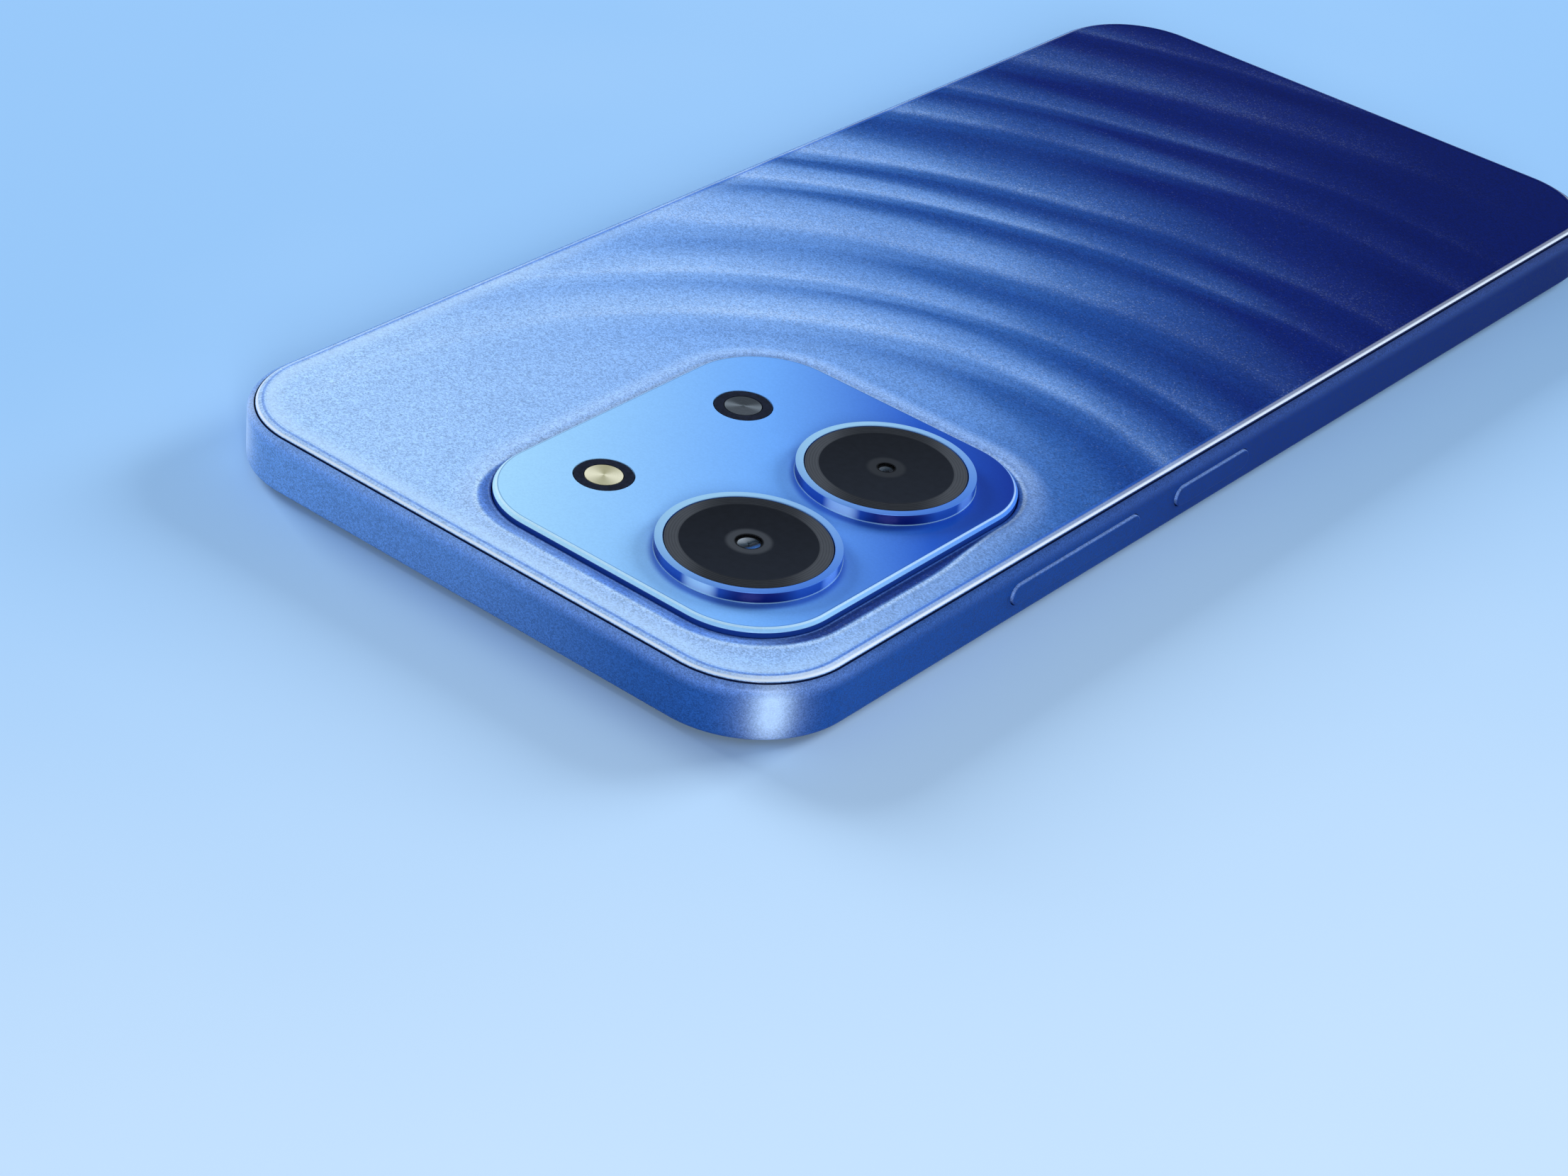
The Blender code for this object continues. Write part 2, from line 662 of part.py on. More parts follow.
def rear_cover():
    """The back panel, with a round outer edge and a soft swell up to the camera island's opening."""
    edge = COVER_RIM + SEAM
    crown = fillet((edge, PARTING_Z), (edge + COVER_EDGE_BAND, COVER_TOP), (edge, COVER_TOP))
    outer = [(edge, COVER_UNDER)] + [tuple(point) for point in crown]
    inner = swell_section() + [(-SEAM, COVER_UNDER)]
    bm = bmesh.new()
    outer_rows = add_skin(bm, stack([(phone_outline(inset), z) for inset, z in outer]))
    inner_rows = add_skin(bm, stack([(island_outline(inset), z) for inset, z in inner]))
    fill_between(bm, outer_rows[-1], inner_rows[0])
    fill_between(bm, outer_rows[0], inner_rows[-1])
    make_object("rear_cover", bm, "cover_blue")


def glue_frame(name, outer, inner, low, high):
    """A thin frame of tape that follows the phone's outline."""
    section = [(inner, low + TAPE_FILM), (outer, low + TAPE_FILM), (outer, high - TAPE_FILM),
               (inner, high - TAPE_FILM)]
    ring(name, stack([(phone_outline(inset), z) for inset, z in section]), "glue_tape")


# Camera island and what stands in it


def camera_island():
    """A raised plate with a chamfered edge, a wall through the cover and a flange that is glued under it."""
    low = ISLAND_FLANGE_TOP - ISLAND_FLANGE_THICKNESS
    section = [(ISLAND_CHAMFER, ISLAND_TOP), (0, ISLAND_TOP - ISLAND_CHAMFER), (0, ISLAND_FLANGE_TOP),
               (-ISLAND_FLANGE_WIDTH, ISLAND_FLANGE_TOP), (-ISLAND_FLANGE_WIDTH, low), (ISLAND_WALL, low),
               (ISLAND_WALL, ISLAND_CEILING)]
    island = solid("camera_island", stack([(island_outline(inset), z) for inset, z in section]),
                   "island_blue")
    holes = []
    for y in (UPPER_ROW, LOWER_ROW):
        holes.append(circle_outline(SKIRT_RADIUS + SEAM, RING_STEPS, LENS_X, y))
        holes.append(circle_outline(LAMP_RADIUS + SEAM, SMALL_STEPS, LAMP_X, y))
    cut(island, "island_holes",
        *[slab(hole, ISLAND_CEILING - OVERCUT, ISLAND_TOP + OVERCUT) for hole in holes])


def lens_ring(label, y):
    """A metal ring on the island, with a seat for its window and a skirt through the island's plate."""
    foot = ISLAND_TOP + BOND
    seat = WINDOW_UNDER - BOND
    skirt = ISLAND_TOP - RING_SKIRT_DEPTH
    profile = [(RING_RADIUS, foot), (RING_RADIUS, RING_TOP - RING_BEVEL),
               (RING_RADIUS - RING_BEVEL, RING_TOP),
               (RING_BORE, RING_TOP), (RING_BORE, seat), (RING_SEAT_RADIUS, seat), (RING_SEAT_RADIUS, skirt),
               (SKIRT_RADIUS, skirt), (SKIRT_RADIUS, foot)]
    ring(f"lens_ring_{label}", turned(profile, RING_STEPS, LENS_X, y), "ring_blue")


def lens_window(label, y):
    radius = RING_BORE - SEAM
    profile = [(radius, WINDOW_UNDER), (radius, WINDOW_TOP - RING_BEVEL), (radius - RING_BEVEL, WINDOW_TOP)]
    solid(f"lens_window_{label}", turned(profile, RING_STEPS, LENS_X, y), "black_glass")


def camera_module(label, y, side, barrel):
    """A square camera body on the bay floor, with its lens barrel standing up under the window."""
    top = SEAT_Z + MODULE_HEIGHT
    half = side / 2
    module = solid(f"camera_{label}",
                   brick((LENS_X - half, y - half, SEAT_Z), (LENS_X + half, y + half, top)), "black_plastic")
    socket = LENS_ELEMENT_RADIUS + BOND
    profile = [(barrel, top - BOND), (barrel, BARREL_TOP), (socket, BARREL_TOP),
               (socket, BARREL_TOP - LENS_ELEMENT_CROWN)]
    join(module, f"barrel_{label}", turned(profile, BARREL_STEPS, LENS_X, y))


def lens_element(label, y):
    """The domed front lens in its barrel."""
    profile = [(LENS_ELEMENT_RADIUS, BARREL_TOP - LENS_ELEMENT_CROWN + BOND)]
    for turn in (0.0, math.pi / 6, math.pi / 3):
        profile.append((LENS_ELEMENT_RADIUS * math.cos(turn),
                        BARREL_TOP + LENS_ELEMENT_CROWN * math.sin(turn)))
    solid(f"lens_element_{label}", turned(profile, BARREL_STEPS, LENS_X, y), "lens_glass")


def lens_seal(label, y, barrel):
    """A foam ring round the barrel that keeps light and dust out, from the camera body up to the window."""
    inner = barrel + BOND
    outer = inner + SEAL_WIDTH
    low, high = SEAT_Z + MODULE_HEIGHT + BOND, WINDOW_UNDER - BOND
    profile = [(inner, low), (outer, low), (outer, high), (inner, high)]
    ring(f"lens_seal_{label}", turned(profile, BARREL_STEPS, LENS_X, y), "foam")


def lamp_bezel(label, y):
    """The black surround of a small window, held under the island's plate by its flange."""
    high = ISLAND_CEILING - BOND
    low = high - LAMP_FLANGE_THICKNESS
    ledge = ISLAND_TOP - LAMP_LENS_THICKNESS - BOND
    rim = LAMP_RADIUS + LAMP_FLANGE
    profile = [(LAMP_RADIUS, ISLAND_TOP), (LAMP_BORE, ISLAND_TOP), (LAMP_BORE, ledge),
               (LAMP_BORE - LAMP_LEDGE, ledge),
               (LAMP_BORE - LAMP_LEDGE, low), (rim, low), (rim, high), (LAMP_RADIUS, high)]
    ring(f"{label}_bezel", turned(profile, SMALL_STEPS, LAMP_X, y), "black_plastic")


def lamp_window(label, y, finish):
    """A small window with a light pipe that reaches down to the chip on the board."""
    radius = LAMP_BORE - BOND
    under = ISLAND_TOP - LAMP_LENS_THICKNESS
    profile = [(radius, ISLAND_TOP), (radius, under), (LIGHT_PIPE_RADIUS, under),
               (LIGHT_PIPE_RADIUS, CHIP_Z + CHIP_HEIGHT + BOND)]
    solid(f"{label}_window", turned(profile, SMALL_STEPS, LAMP_X, y), finish)


def board_chip(name, x, y, finish):
    half = CHIP_SIDE / 2
    solid(name, brick((x - half, y - half, CHIP_Z), (x + half, y + half, CHIP_Z + CHIP_HEIGHT)), finish)


def cameras():
    camera_island()
    for label, y, side, barrel in (("upper", UPPER_ROW, MAIN_MODULE_SIDE, MAIN_BARREL_RADIUS),
                                   ("lower", LOWER_ROW, SECOND_MODULE_SIDE, SECOND_BARREL_RADIUS)):
        lens_ring(label, y)
        lens_window(label, y)
        camera_module(label, y, side, barrel)
        lens_element(label, y)
        lens_seal(label, y, barrel)
    for label, y, finish in (("flash", UPPER_ROW, "flash_cream"), ("sensor", LOWER_ROW, "black_glass")):
        lamp_bezel(label, y)
        lamp_window(label, y, finish)
    board_chip("flash_led", LAMP_X, UPPER_ROW, "chip_white")
    board_chip("light_sensor", LAMP_X, LOWER_ROW, "chip_white")


# Side keys


def side_key(name, length, y, nub_offsets):
    """A bar with round ends that stands out of its slot, with ears that keep it in and nubs for its switches.

    Its origin lies on the joint's axis, at the middle of its ears' outer face.
    """
    pivot = -HALF_WIDTH + EAR_DEPTH
    face = -HALF_WIDTH - KEY_PROUD
    outlines = [stadium_outline(length, KEY_HEIGHT, y, KEY_Z, inset) for inset in (KEY_EDGE, 0, 0)]
    depths = (face, face + KEY_EDGE, pivot + BOND)
    key = solid(name, stack(zip(outlines, depths), facing_x), "frame_blue", (pivot, y, KEY_Z))
    half = length / 2 + KEY_EAR_LENGTH
    back = pivot + KEY_EAR_THICKNESS
    join(key, f"{name}_ears", brick((pivot, y - half, EAR_LOW), (back, y + half, EAR_HIGH)))
    nubs = [circle_outline(KEY_NUB_RADIUS, PIN_STEPS, y + offset, NUB_Z) for offset in nub_offsets]
    join(key, f"{name}_nubs", *[slab(nub, pivot + BOND, back + KEY_NUB_LENGTH, facing_x) for nub in nubs])


def key_switch(name, y):
    x = -HALF_WIDTH + SWITCH_DEPTH
    half_y, half_z = SWITCH_LENGTH / 2, SWITCH_HEIGHT / 2
    solid(name, brick((x, y - half_y, NUB_Z - half_z), (x + SWITCH_THICKNESS, y + half_y, NUB_Z + half_z)),
          "steel")


def key_strip(name, depth, thickness, height, finish):
    """A strip along the key side that backs all the switches."""
    low, high = POWER_KEY_Y - POWER_KEY_LENGTH / 2, VOLUME_KEY_Y + VOLUME_KEY_LENGTH / 2
    x = -HALF_WIDTH + depth
    solid(name, brick((x, low, SEAT_Z), (x + thickness, high, SEAT_Z + height)), finish)


def side_keys():
    side_key("power_key", POWER_KEY_LENGTH, POWER_KEY_Y, [0.0])
    side_key("volume_key", VOLUME_KEY_LENGTH, VOLUME_KEY_Y, [-VOLUME_NUB_OFFSET, VOLUME_NUB_OFFSET])
    key_switch("power_switch", POWER_KEY_Y)
    key_switch("volume_up_switch", VOLUME_KEY_Y + VOLUME_NUB_OFFSET)
    key_switch("volume_down_switch", VOLUME_KEY_Y - VOLUME_NUB_OFFSET)
    key_strip("key_flex", KEY_FLEX_DEPTH, KEY_FLEX_THICKNESS, KEY_BRACKET_HEIGHT - SEAT_GAP, "flex_amber")
    key_strip("key_bracket", KEY_BRACKET_DEPTH, KEY_BRACKET_THICKNESS, KEY_BRACKET_HEIGHT, "steel")


# Card tray


def card_spaces(shrink, low_z, high_z):
    """The room for each card, or a smaller window under it, from the tray's head inwards."""
    cards = [(MEMORY_CARD_LENGTH, MEMORY_CARD_WIDTH), (NANO_CARD_WIDTH, NANO_CARD_LENGTH),
             (NANO_CARD_WIDTH, NANO_CARD_LENGTH)]
    spaces = []
    right = HALF_WIDTH - TRAY_HEAD_DEPTH - TRAY_RIB
    for along, across in cards:
        half = across / 2 - shrink
        spaces.append(brick((right - along + shrink, TRAY_Y - half, low_z),
                            (right - shrink, TRAY_Y + half, high_z)))
        right -= along + TRAY_RIB
    return spaces


def sim_tray():
    """A tray with three card pockets behind a head that closes its slot. Its origin is on the outer wall."""
    head = stadium_outline(TRAY_HEAD_LENGTH, TRAY_HEAD_HEIGHT, TRAY_Y, TRAY_Z)
    head_back = HALF_WIDTH - TRAY_HEAD_DEPTH
    tray = solid("sim_tray", slab(head, head_back, HALF_WIDTH, facing_x), "frame_blue",
                 (HALF_WIDTH, TRAY_Y, TRAY_Z))
    half_y = TRAY_WIDTH / 2
    low, high = TRAY_Z - TRAY_THICKNESS / 2, TRAY_Z + TRAY_THICKNESS / 2
    join(tray, "tray_body",
         brick((TRAY_END_X, TRAY_Y - half_y, low), (head_back + BOND, TRAY_Y + half_y, high)))
    cut(tray, "tray_pockets", *card_spaces(0.0, high - CARD_RECESS, high + OVERCUT))
    cut(tray, "tray_windows", *card_spaces(CARD_LEDGE, low - OVERCUT, high))
    eject = circle_outline(EJECT_HOLE_RADIUS, PIN_STEPS, TRAY_Y + (TRAY_HEAD_LENGTH - TRAY_HEAD_HEIGHT) / 2,
                           TRAY_Z)
    cut(tray, "tray_eject_hole", slab(eject, head_back - OVERCUT, HALF_WIDTH + OVERCUT, facing_x))


def sim_reader():
    """The sheet-metal cage that the card tray slides into."""
    low, high = SEAT_Z + READER_PLATE, TRAY_Z + TRAY_THICKNESS / 2 + TRAY_CLEARANCE
    half = READER_HALF_Y
    cage = brick((READER_LOW_X, TRAY_Y - half, SEAT_Z), (BAY_X, TRAY_Y + half, high + READER_PLATE))
    inner = half - READER_WALL
    tunnel = brick((READER_LOW_X + READER_WALL, TRAY_Y - inner, low), (BAY_X + OVERCUT, TRAY_Y + inner, high))
    cut(solid("sim_reader", cage, "steel"), "reader_tunnel", tunnel)


# Boards and what stands on them


def boss_wells(places):
    """Holes in a board that its frame's screw posts pass through."""
    wells = [circle_outline(BOSS_RADIUS + SEAT_GAP, PIN_STEPS, x, y) for x, y in places]
    return [slab(well, SEAT_Z - OVERCUT, BOARD_TOP + OVERCUT) for well in wells]


def main_board():
    """The logic board, cut out for the cameras, the card reader, the front camera and the screw posts."""
    corner = max(INNER_CORNER, BOARD_CORNER)
    outline = rounded_outline(BOARD_LEFT, BAY_X, BOARD_LOW + SEAT_GAP, BAY_Y,
                              (BOARD_CORNER, corner, corner, BOARD_CORNER))
    board = solid("main_board", slab(outline, SEAT_Z, BOARD_TOP), "board_green")
    low, high = SEAT_Z - OVERCUT, BOARD_TOP + OVERCUT
    wells = []
    for y, side in ((UPPER_ROW, MAIN_MODULE_SIDE), (LOWER_ROW, SECOND_MODULE_SIDE)):
        half = side / 2 + SEAT_GAP
        wells.append(brick((LENS_X - half, y - half, low), (LENS_X + half, y + half, high)))
    half = READER_HALF_Y + SEAT_GAP
    wells.append(brick((READER_LOW_X - SEAT_GAP, TRAY_Y - half, low),
                       (INNER_X + OVERCUT, TRAY_Y + half, high)))
    half = EARPIECE_SLOT_LENGTH / 2 + SEAT_GAP
    bay_low = FRONT_CAMERA_Y - FRONT_MODULE_SIDE / 2 - SEAT_GAP
    wells.append(brick((-half, bay_low, low), (half, INNER_Y + OVERCUT, high)))
    cut(board, "board_wells", *wells, *boss_wells(upper_screws()))


def shield_can(name, low_y, high_y):
    """A pressed lid over the chips, open underneath."""
    left = BRACKET_LEFT + SCREW_INSET + BOSS_RADIUS + SEAT_GAP
    right = BATTERY_RIGHT - SEAT_GAP
    top = CHIP_Z + SHIELD_HEIGHT
    section = [(0, top), (0, CHIP_Z), (SHIELD_SKIN, CHIP_Z), (SHIELD_SKIN, top - SHIELD_SKIN)]
    outlines = [(box_outline(left + d, right - d, low_y + d, high_y - d), z) for d, z in section]
    solid(name, stack(outlines), "steel")


def shields():
    reach = BOSS_RADIUS + SEAT_GAP
    low_screw, high_screw = upper_screws()[0][1], upper_screws()[2][1]
    shield_can("processor_shield", low_screw + reach, TRAY_Y - READER_HALF_Y - 2 * SEAT_GAP)
    shield_can("radio_shield", TRAY_Y + READER_HALF_Y + 2 * SEAT_GAP, high_screw - reach)


def bracket(name, outline, places):
    """A plastic plate that holds the pieces under it down, with a hole for each screw."""
    plate = solid(name, slab(outline, BRACKET_Z, BRACKET_TOP), "black_plastic")
    holes = [circle_outline(SCREW_SHANK_RADIUS + BOND, PIN_STEPS, x, y) for x, y in places]
    cut(plate, f"{name}_holes", *[slab(hole, BRACKET_Z - OVERCUT, BRACKET_TOP + OVERCUT) for hole in holes])


def brackets():
    corner = max(INNER_CORNER, BOARD_CORNER)
    upper = rounded_outline(BRACKET_LEFT, BAY_X, BOARD_LOW + SEAT_GAP, BAY_Y,
                            (BOARD_CORNER, corner, BOARD_CORNER, BOARD_CORNER))
    bracket("upper_bracket", upper, upper_screws())
    low = JACK_END_Y + SEAT_GAP
    lower = rounded_outline(LOWER_BOARD_LEFT, BAY_X, low, LOWER_ZONE_TOP - SEAT_GAP, (BOARD_CORNER,) * 4)
    bracket("lower_bracket", lower, lower_screws())


def screws():
    """Round-headed screws whose heads rest on the brackets and the speaker's lugs."""
    under = BRACKET_TOP + BOND
    profile = [(SCREW_SHANK_RADIUS, under - SCREW_LENGTH), (SCREW_SHANK_RADIUS, under),
               (SCREW_HEAD_RADIUS, under),
               (SCREW_HEAD_RADIUS, under + SCREW_RIM_HEIGHT), (SCREW_CROWN_RADIUS, under + SCREW_HEAD_HEIGHT)]
    for number, (x, y) in enumerate(all_screws(), start=1):
        solid(f"screw_{number}", turned(profile, PIN_STEPS, x, y), "steel")


# Battery and its leads


def battery():
    section = [(BATTERY_EDGE, SEAT_Z), (0, SEAT_Z + BATTERY_EDGE), (0, BAY_TOP - BATTERY_EDGE),
               (BATTERY_EDGE, BAY_TOP)]
    outlines = []
    for inset, z in section:
        radii = (BATTERY_CORNER - inset,) * 4
        outlines.append((rounded_outline(BATTERY_LEFT + inset, BATTERY_RIGHT - inset, BATTERY_LOW + inset,
                                         BATTERY_HIGH - inset,
                                         radii, FILLET_STEPS), z))
    solid("battery", stack(outlines), "battery_foil")


def battery_leads():
    """The battery's plug on the logic board, and the flat lead over it that comes from the battery's end."""
    left, low = BATTERY_LEFT + PLUG_INSET, BOARD_LOW + SEAT_GAP + BOND
    right, high = left + PLUG_LENGTH, low + PLUG_WIDTH
    top = CHIP_Z + PLUG_HEIGHT
    solid("battery_plug", brick((left, low, CHIP_Z), (right, high, top)), "black_plastic")
    lead_z = top + BOND
    solid("battery_lead", brick((left, BATTERY_HIGH + BOND, lead_z), (right, high, lead_z + FLEX_THICKNESS)),
          "flex_amber")


def main_flex():
    """The flat lead in the lane beside the battery, which climbs on a board at each end."""
    left = INNER_X - (FLEX_LANE + FLEX_WIDTH) / 2
    low, high = LOWER_ZONE_TOP - SEAT_GAP, BOARD_LOW + SEAT_GAP
    line = [(low - FLEX_LAP, CHIP_Z), (low + SEAT_GAP, CHIP_Z), (low + FLEX_RAMP, SEAT_Z),
            (high - FLEX_RAMP, SEAT_Z),
            (high - SEAT_GAP, CHIP_Z), (high + FLEX_LAP, CHIP_Z)]
    outline = [Vector(point) for point in line] + [Vector((y, z + FLEX_THICKNESS)) for y, z in reversed(line)]
    solid("main_flex", slab(outline, left, left + FLEX_WIDTH, facing_x), "flex_amber")


# Bottom end


def usb_port():
    """The drawn steel shell of the charging socket, open at the phone's end, and the tongue inside it."""
    outer = stadium_outline(USB_MOUTH_WIDTH + 2 * USB_SHELL, USB_MOUTH_HEIGHT + 2 * USB_SHELL, 0, SOCKET_Z)
    inner = stadium_outline(USB_MOUTH_WIDTH, USB_MOUTH_HEIGHT, 0, SOCKET_Z)
    back = USB_BACK_Y - USB_SHELL
    sections = [(outer, USB_BACK_Y), (outer, USB_MOUTH_Y), (inner, USB_MOUTH_Y), (inner, back)]
    solid("usb_port", stack(sections, facing_y), "steel")
    half_x, half_z = USB_TONGUE_WIDTH / 2, USB_TONGUE_THICKNESS / 2
    tongue = brick((-half_x, back - BOND - USB_TONGUE_LENGTH, SOCKET_Z - half_z),
                   (half_x, back - BOND, SOCKET_Z + half_z))
    solid("usb_tongue", tongue, "black_plastic")


def headphone_jack():
    """The audio socket: a block with a round bore, open at the phone's end."""
    half_x, half_z = JACK_WIDTH / 2, JACK_BORE_RADIUS + JACK_WALL
    block = brick((JACK_X - half_x, -BAY_Y, SOCKET_Z - half_z),
                  (JACK_X + half_x, JACK_END_Y, SOCKET_Z + half_z))
    bore = circle_outline(JACK_BORE_RADIUS, SMALL_STEPS, JACK_X, SOCKET_Z)
    jack = solid("headphone_jack", block, "black_plastic")
    cut(jack, "jack_bore", slab(bore, -BAY_Y - OVERCUT, JACK_END_Y - JACK_WALL, facing_y))


def lower_board():
    """The lower board, notched for the charging socket and the audio socket."""
    corner = max(INNER_CORNER, BOARD_CORNER)
    outline = rounded_outline(LOWER_BOARD_LEFT, BAY_X, -BAY_Y, LOWER_ZONE_TOP - SEAT_GAP,
                              (corner,) + (BOARD_CORNER,) * 3)
    board = solid("lower_board", slab(outline, SEAT_Z, BOARD_TOP), "board_green")
    bays = socket_bays(-BAY_Y - OVERCUT, SEAT_Z - OVERCUT, BOARD_TOP + OVERCUT)
    cut(board, "lower_board_bays", *bays, *boss_wells(lower_screws()))
    board_chip("microphone", MICROPHONE_X, -BAY_Y + CHIP_SIDE / 2 + BOND, "steel")


def speaker_box():
    """The loudspeaker chamber in the bay corner, with its mouth at the end wall and two screw lugs."""
    corner = max(INNER_CORNER, BOARD_CORNER)
    outline = rounded_outline(SPEAKER_LEFT, SPEAKER_RIGHT, -BAY_Y, SPEAKER_HIGH, (0, 0, 0, corner))
    chamber = solid("speaker_box", slab(outline, SEAT_Z, BAY_TOP), "black_plastic")
    half = SPEAKER_LUG / 2
    lugs = [brick((x - half, SPEAKER_HIGH - OVERCUT, BRACKET_Z), (x + half, y + half, BRACKET_TOP))
            for x, y in speaker_screws()]
    join(chamber, "speaker_lugs", *lugs)
    holes = [circle_outline(SCREW_SHANK_RADIUS + BOND, PIN_STEPS, x, y) for x, y in speaker_screws()]
    cuts = [slab(hole, BRACKET_Z - OVERCUT, BRACKET_TOP + OVERCUT) for hole in holes]
    places = speaker_holes()
    reach = SPEAKER_HOLE_RADIUS + SPEAKER_MOUTH_MARGIN
    cuts.append(brick((places[0] - reach, -BAY_Y - OVERCUT, SOCKET_Z - reach),
                      (places[-1] + reach, -BAY_Y + SPEAKER_MOUTH_DEPTH, SOCKET_Z + reach)))
    cut(chamber, "speaker_cuts", *cuts)


def vibration_motor():
    outline = circle_outline(MOTOR_RADIUS, BARREL_STEPS, SPEAKER_X, MOTOR_Y)
    solid("vibration_motor", slab(outline, SEAT_Z, SEAT_Z + MOTOR_HEIGHT), "steel")


# Front of the phone


def front_glass():
    """The screen's cover glass, with a round edge and the earpiece slot in its top edge."""
    edge = GLASS_RIM + SEAM
    section = fillet((edge + GLASS_EDGE, 0), (edge, GLASS_EDGE), (edge, 0)) + [(edge, FRONT_GLASS_THICKNESS)]
    glass = solid("front_glass", stack([(phone_outline(inset), z) for inset, z in section]), "black_glass")
    half_x, low = EARPIECE_SLOT_LENGTH / 2, EARPIECE_Y - EARPIECE_SLOT_WIDTH / 2
    cut(glass, "earpiece_slot",
        brick((-half_x, low, -OVERCUT), (half_x, HALF_LENGTH, FRONT_GLASS_THICKNESS + OVERCUT)))


def display_panel():
    """The display behind the glass, pierced for the front camera."""
    inset = PANEL_RIM + SEAT_GAP
    half_x, half_y = HALF_WIDTH - inset, HALF_LENGTH - inset
    outline = rounded_outline(-half_x, half_x, -half_y + PANEL_CHIN, half_y, (CORNER_RADIUS - inset,) * 4)
    panel = solid("display_panel", slab(outline, PANEL_Z, PANEL_TOP), "black_glass")
    hole = circle_outline(FRONT_BARREL_RADIUS + SEAT_GAP, SMALL_STEPS, 0, FRONT_CAMERA_Y)
    cut(panel, "panel_camera_hole", slab(hole, PANEL_Z - OVERCUT, PANEL_TOP + OVERCUT))


def front_camera():
    """The front camera: a body on the bay floor whose barrel passes through the floor and the display."""
    half = FRONT_MODULE_SIDE / 2
    top = SEAT_Z + FRONT_MODULE_HEIGHT
    camera = solid("front_camera", brick((-half, FRONT_CAMERA_Y - half, SEAT_Z),
                                         (half, FRONT_CAMERA_Y + half, top)), "black_plastic")
    barrel = circle_outline(FRONT_BARREL_RADIUS, SMALL_STEPS, 0, FRONT_CAMERA_Y)
    join(camera, "front_barrel", slab(barrel, PANEL_Z, SEAT_Z + BOND))


def earpiece():
    """The receiver in the bay and the mesh strip in the slot of the glass."""
    half_x = EARPIECE_SLOT_LENGTH / 2
    solid("earpiece_receiver", brick((-half_x, BAY_Y - EARPIECE_DEPTH, SEAT_Z),
                                     (half_x, BAY_Y, SEAT_Z + EARPIECE_HEIGHT)), "steel")
    half_x, half_y = half_x - SEAM, EARPIECE_SLOT_WIDTH / 2 - SEAM
    mesh = brick((-half_x, EARPIECE_Y - half_y, GLASS_EDGE),
                 (half_x, EARPIECE_Y + half_y, FRONT_GLASS_THICKNESS))
    solid("earpiece_mesh", mesh, "grey_mesh")


def build():
    clear_scene()
    make_finishes()
    phone = bpy.data.objects.new("phone", None)
    bpy.context.scene.collection.objects.link(phone)
    mid_frame()
    rear_cover()
    glue_frame("cover_tape", COVER_RIM + SEAT_GAP, WALL, SHELF_Z, COVER_UNDER)
    cameras()
    side_keys()
    sim_tray()
    sim_reader()
    main_board()
    shields()
    brackets()
    screws()
    battery()
    battery_leads()
    main_flex()
    usb_port()
    headphone_jack()
    lower_board()
    speaker_box()
    vibration_motor()
    front_glass()
    glue_frame("display_tape", GLASS_RIM + SEAT_GAP + EARPIECE_SLOT_WIDTH, PANEL_RIM, FRONT_GLASS_THICKNESS,
               GLASS_SHELF_Z)
    display_panel()
    front_camera()
    earpiece()


build()
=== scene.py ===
# %% [markdown]
# # A smartphone, back up
#
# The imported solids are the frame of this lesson. They say where each piece is and how it moves, but
# their round edges are made of a few flat facets. Here every piece that shows is modelled again, as by
# hand, at full smoothness, and every surface gets its finish: a satin frame, a frosted cover with soft
# ripples, a glossy camera island, turned lens rings and black glass.

# %% Load the frame
import json
import math

import bmesh
import bpy
from mathutils import Matrix, Vector


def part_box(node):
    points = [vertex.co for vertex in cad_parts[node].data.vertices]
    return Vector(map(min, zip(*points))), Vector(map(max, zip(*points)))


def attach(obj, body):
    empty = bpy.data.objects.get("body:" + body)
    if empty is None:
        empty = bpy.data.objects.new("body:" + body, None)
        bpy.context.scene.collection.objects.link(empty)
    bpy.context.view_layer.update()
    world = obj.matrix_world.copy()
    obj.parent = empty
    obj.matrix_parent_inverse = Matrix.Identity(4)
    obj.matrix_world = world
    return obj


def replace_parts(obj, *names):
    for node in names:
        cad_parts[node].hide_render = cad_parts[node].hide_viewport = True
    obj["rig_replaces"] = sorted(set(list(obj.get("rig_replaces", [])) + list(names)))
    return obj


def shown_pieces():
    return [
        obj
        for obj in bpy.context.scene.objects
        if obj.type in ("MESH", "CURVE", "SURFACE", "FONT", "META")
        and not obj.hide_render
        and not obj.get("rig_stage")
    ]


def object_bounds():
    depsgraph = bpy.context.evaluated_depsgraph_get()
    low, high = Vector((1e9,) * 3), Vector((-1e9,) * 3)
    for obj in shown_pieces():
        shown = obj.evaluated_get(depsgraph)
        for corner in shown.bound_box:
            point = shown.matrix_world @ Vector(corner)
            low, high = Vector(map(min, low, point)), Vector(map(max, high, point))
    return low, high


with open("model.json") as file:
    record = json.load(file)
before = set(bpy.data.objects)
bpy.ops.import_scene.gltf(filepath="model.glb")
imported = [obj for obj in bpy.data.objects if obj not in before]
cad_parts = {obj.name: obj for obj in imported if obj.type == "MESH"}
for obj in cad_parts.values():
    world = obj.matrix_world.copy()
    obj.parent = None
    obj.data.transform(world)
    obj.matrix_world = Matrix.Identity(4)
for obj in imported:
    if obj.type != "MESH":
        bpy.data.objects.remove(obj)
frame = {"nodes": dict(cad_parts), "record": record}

MM = 0.001


def in_mm(box):
    """The two corners of a box in millimetres, rounded for printing."""
    return [[round(value / MM, 2) for value in corner] for corner in box]


cad_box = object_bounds()
print("CAD box in mm", in_mm(cad_box))

# %% [markdown]
# ## The camera
#
# The camera stands over the corner between the top end and the key side and looks down along the back.
# Its place and its long lens were worked out from the photograph's straight edges and lens rings. A
# small roll tips the picture, because the photograph isn't level.

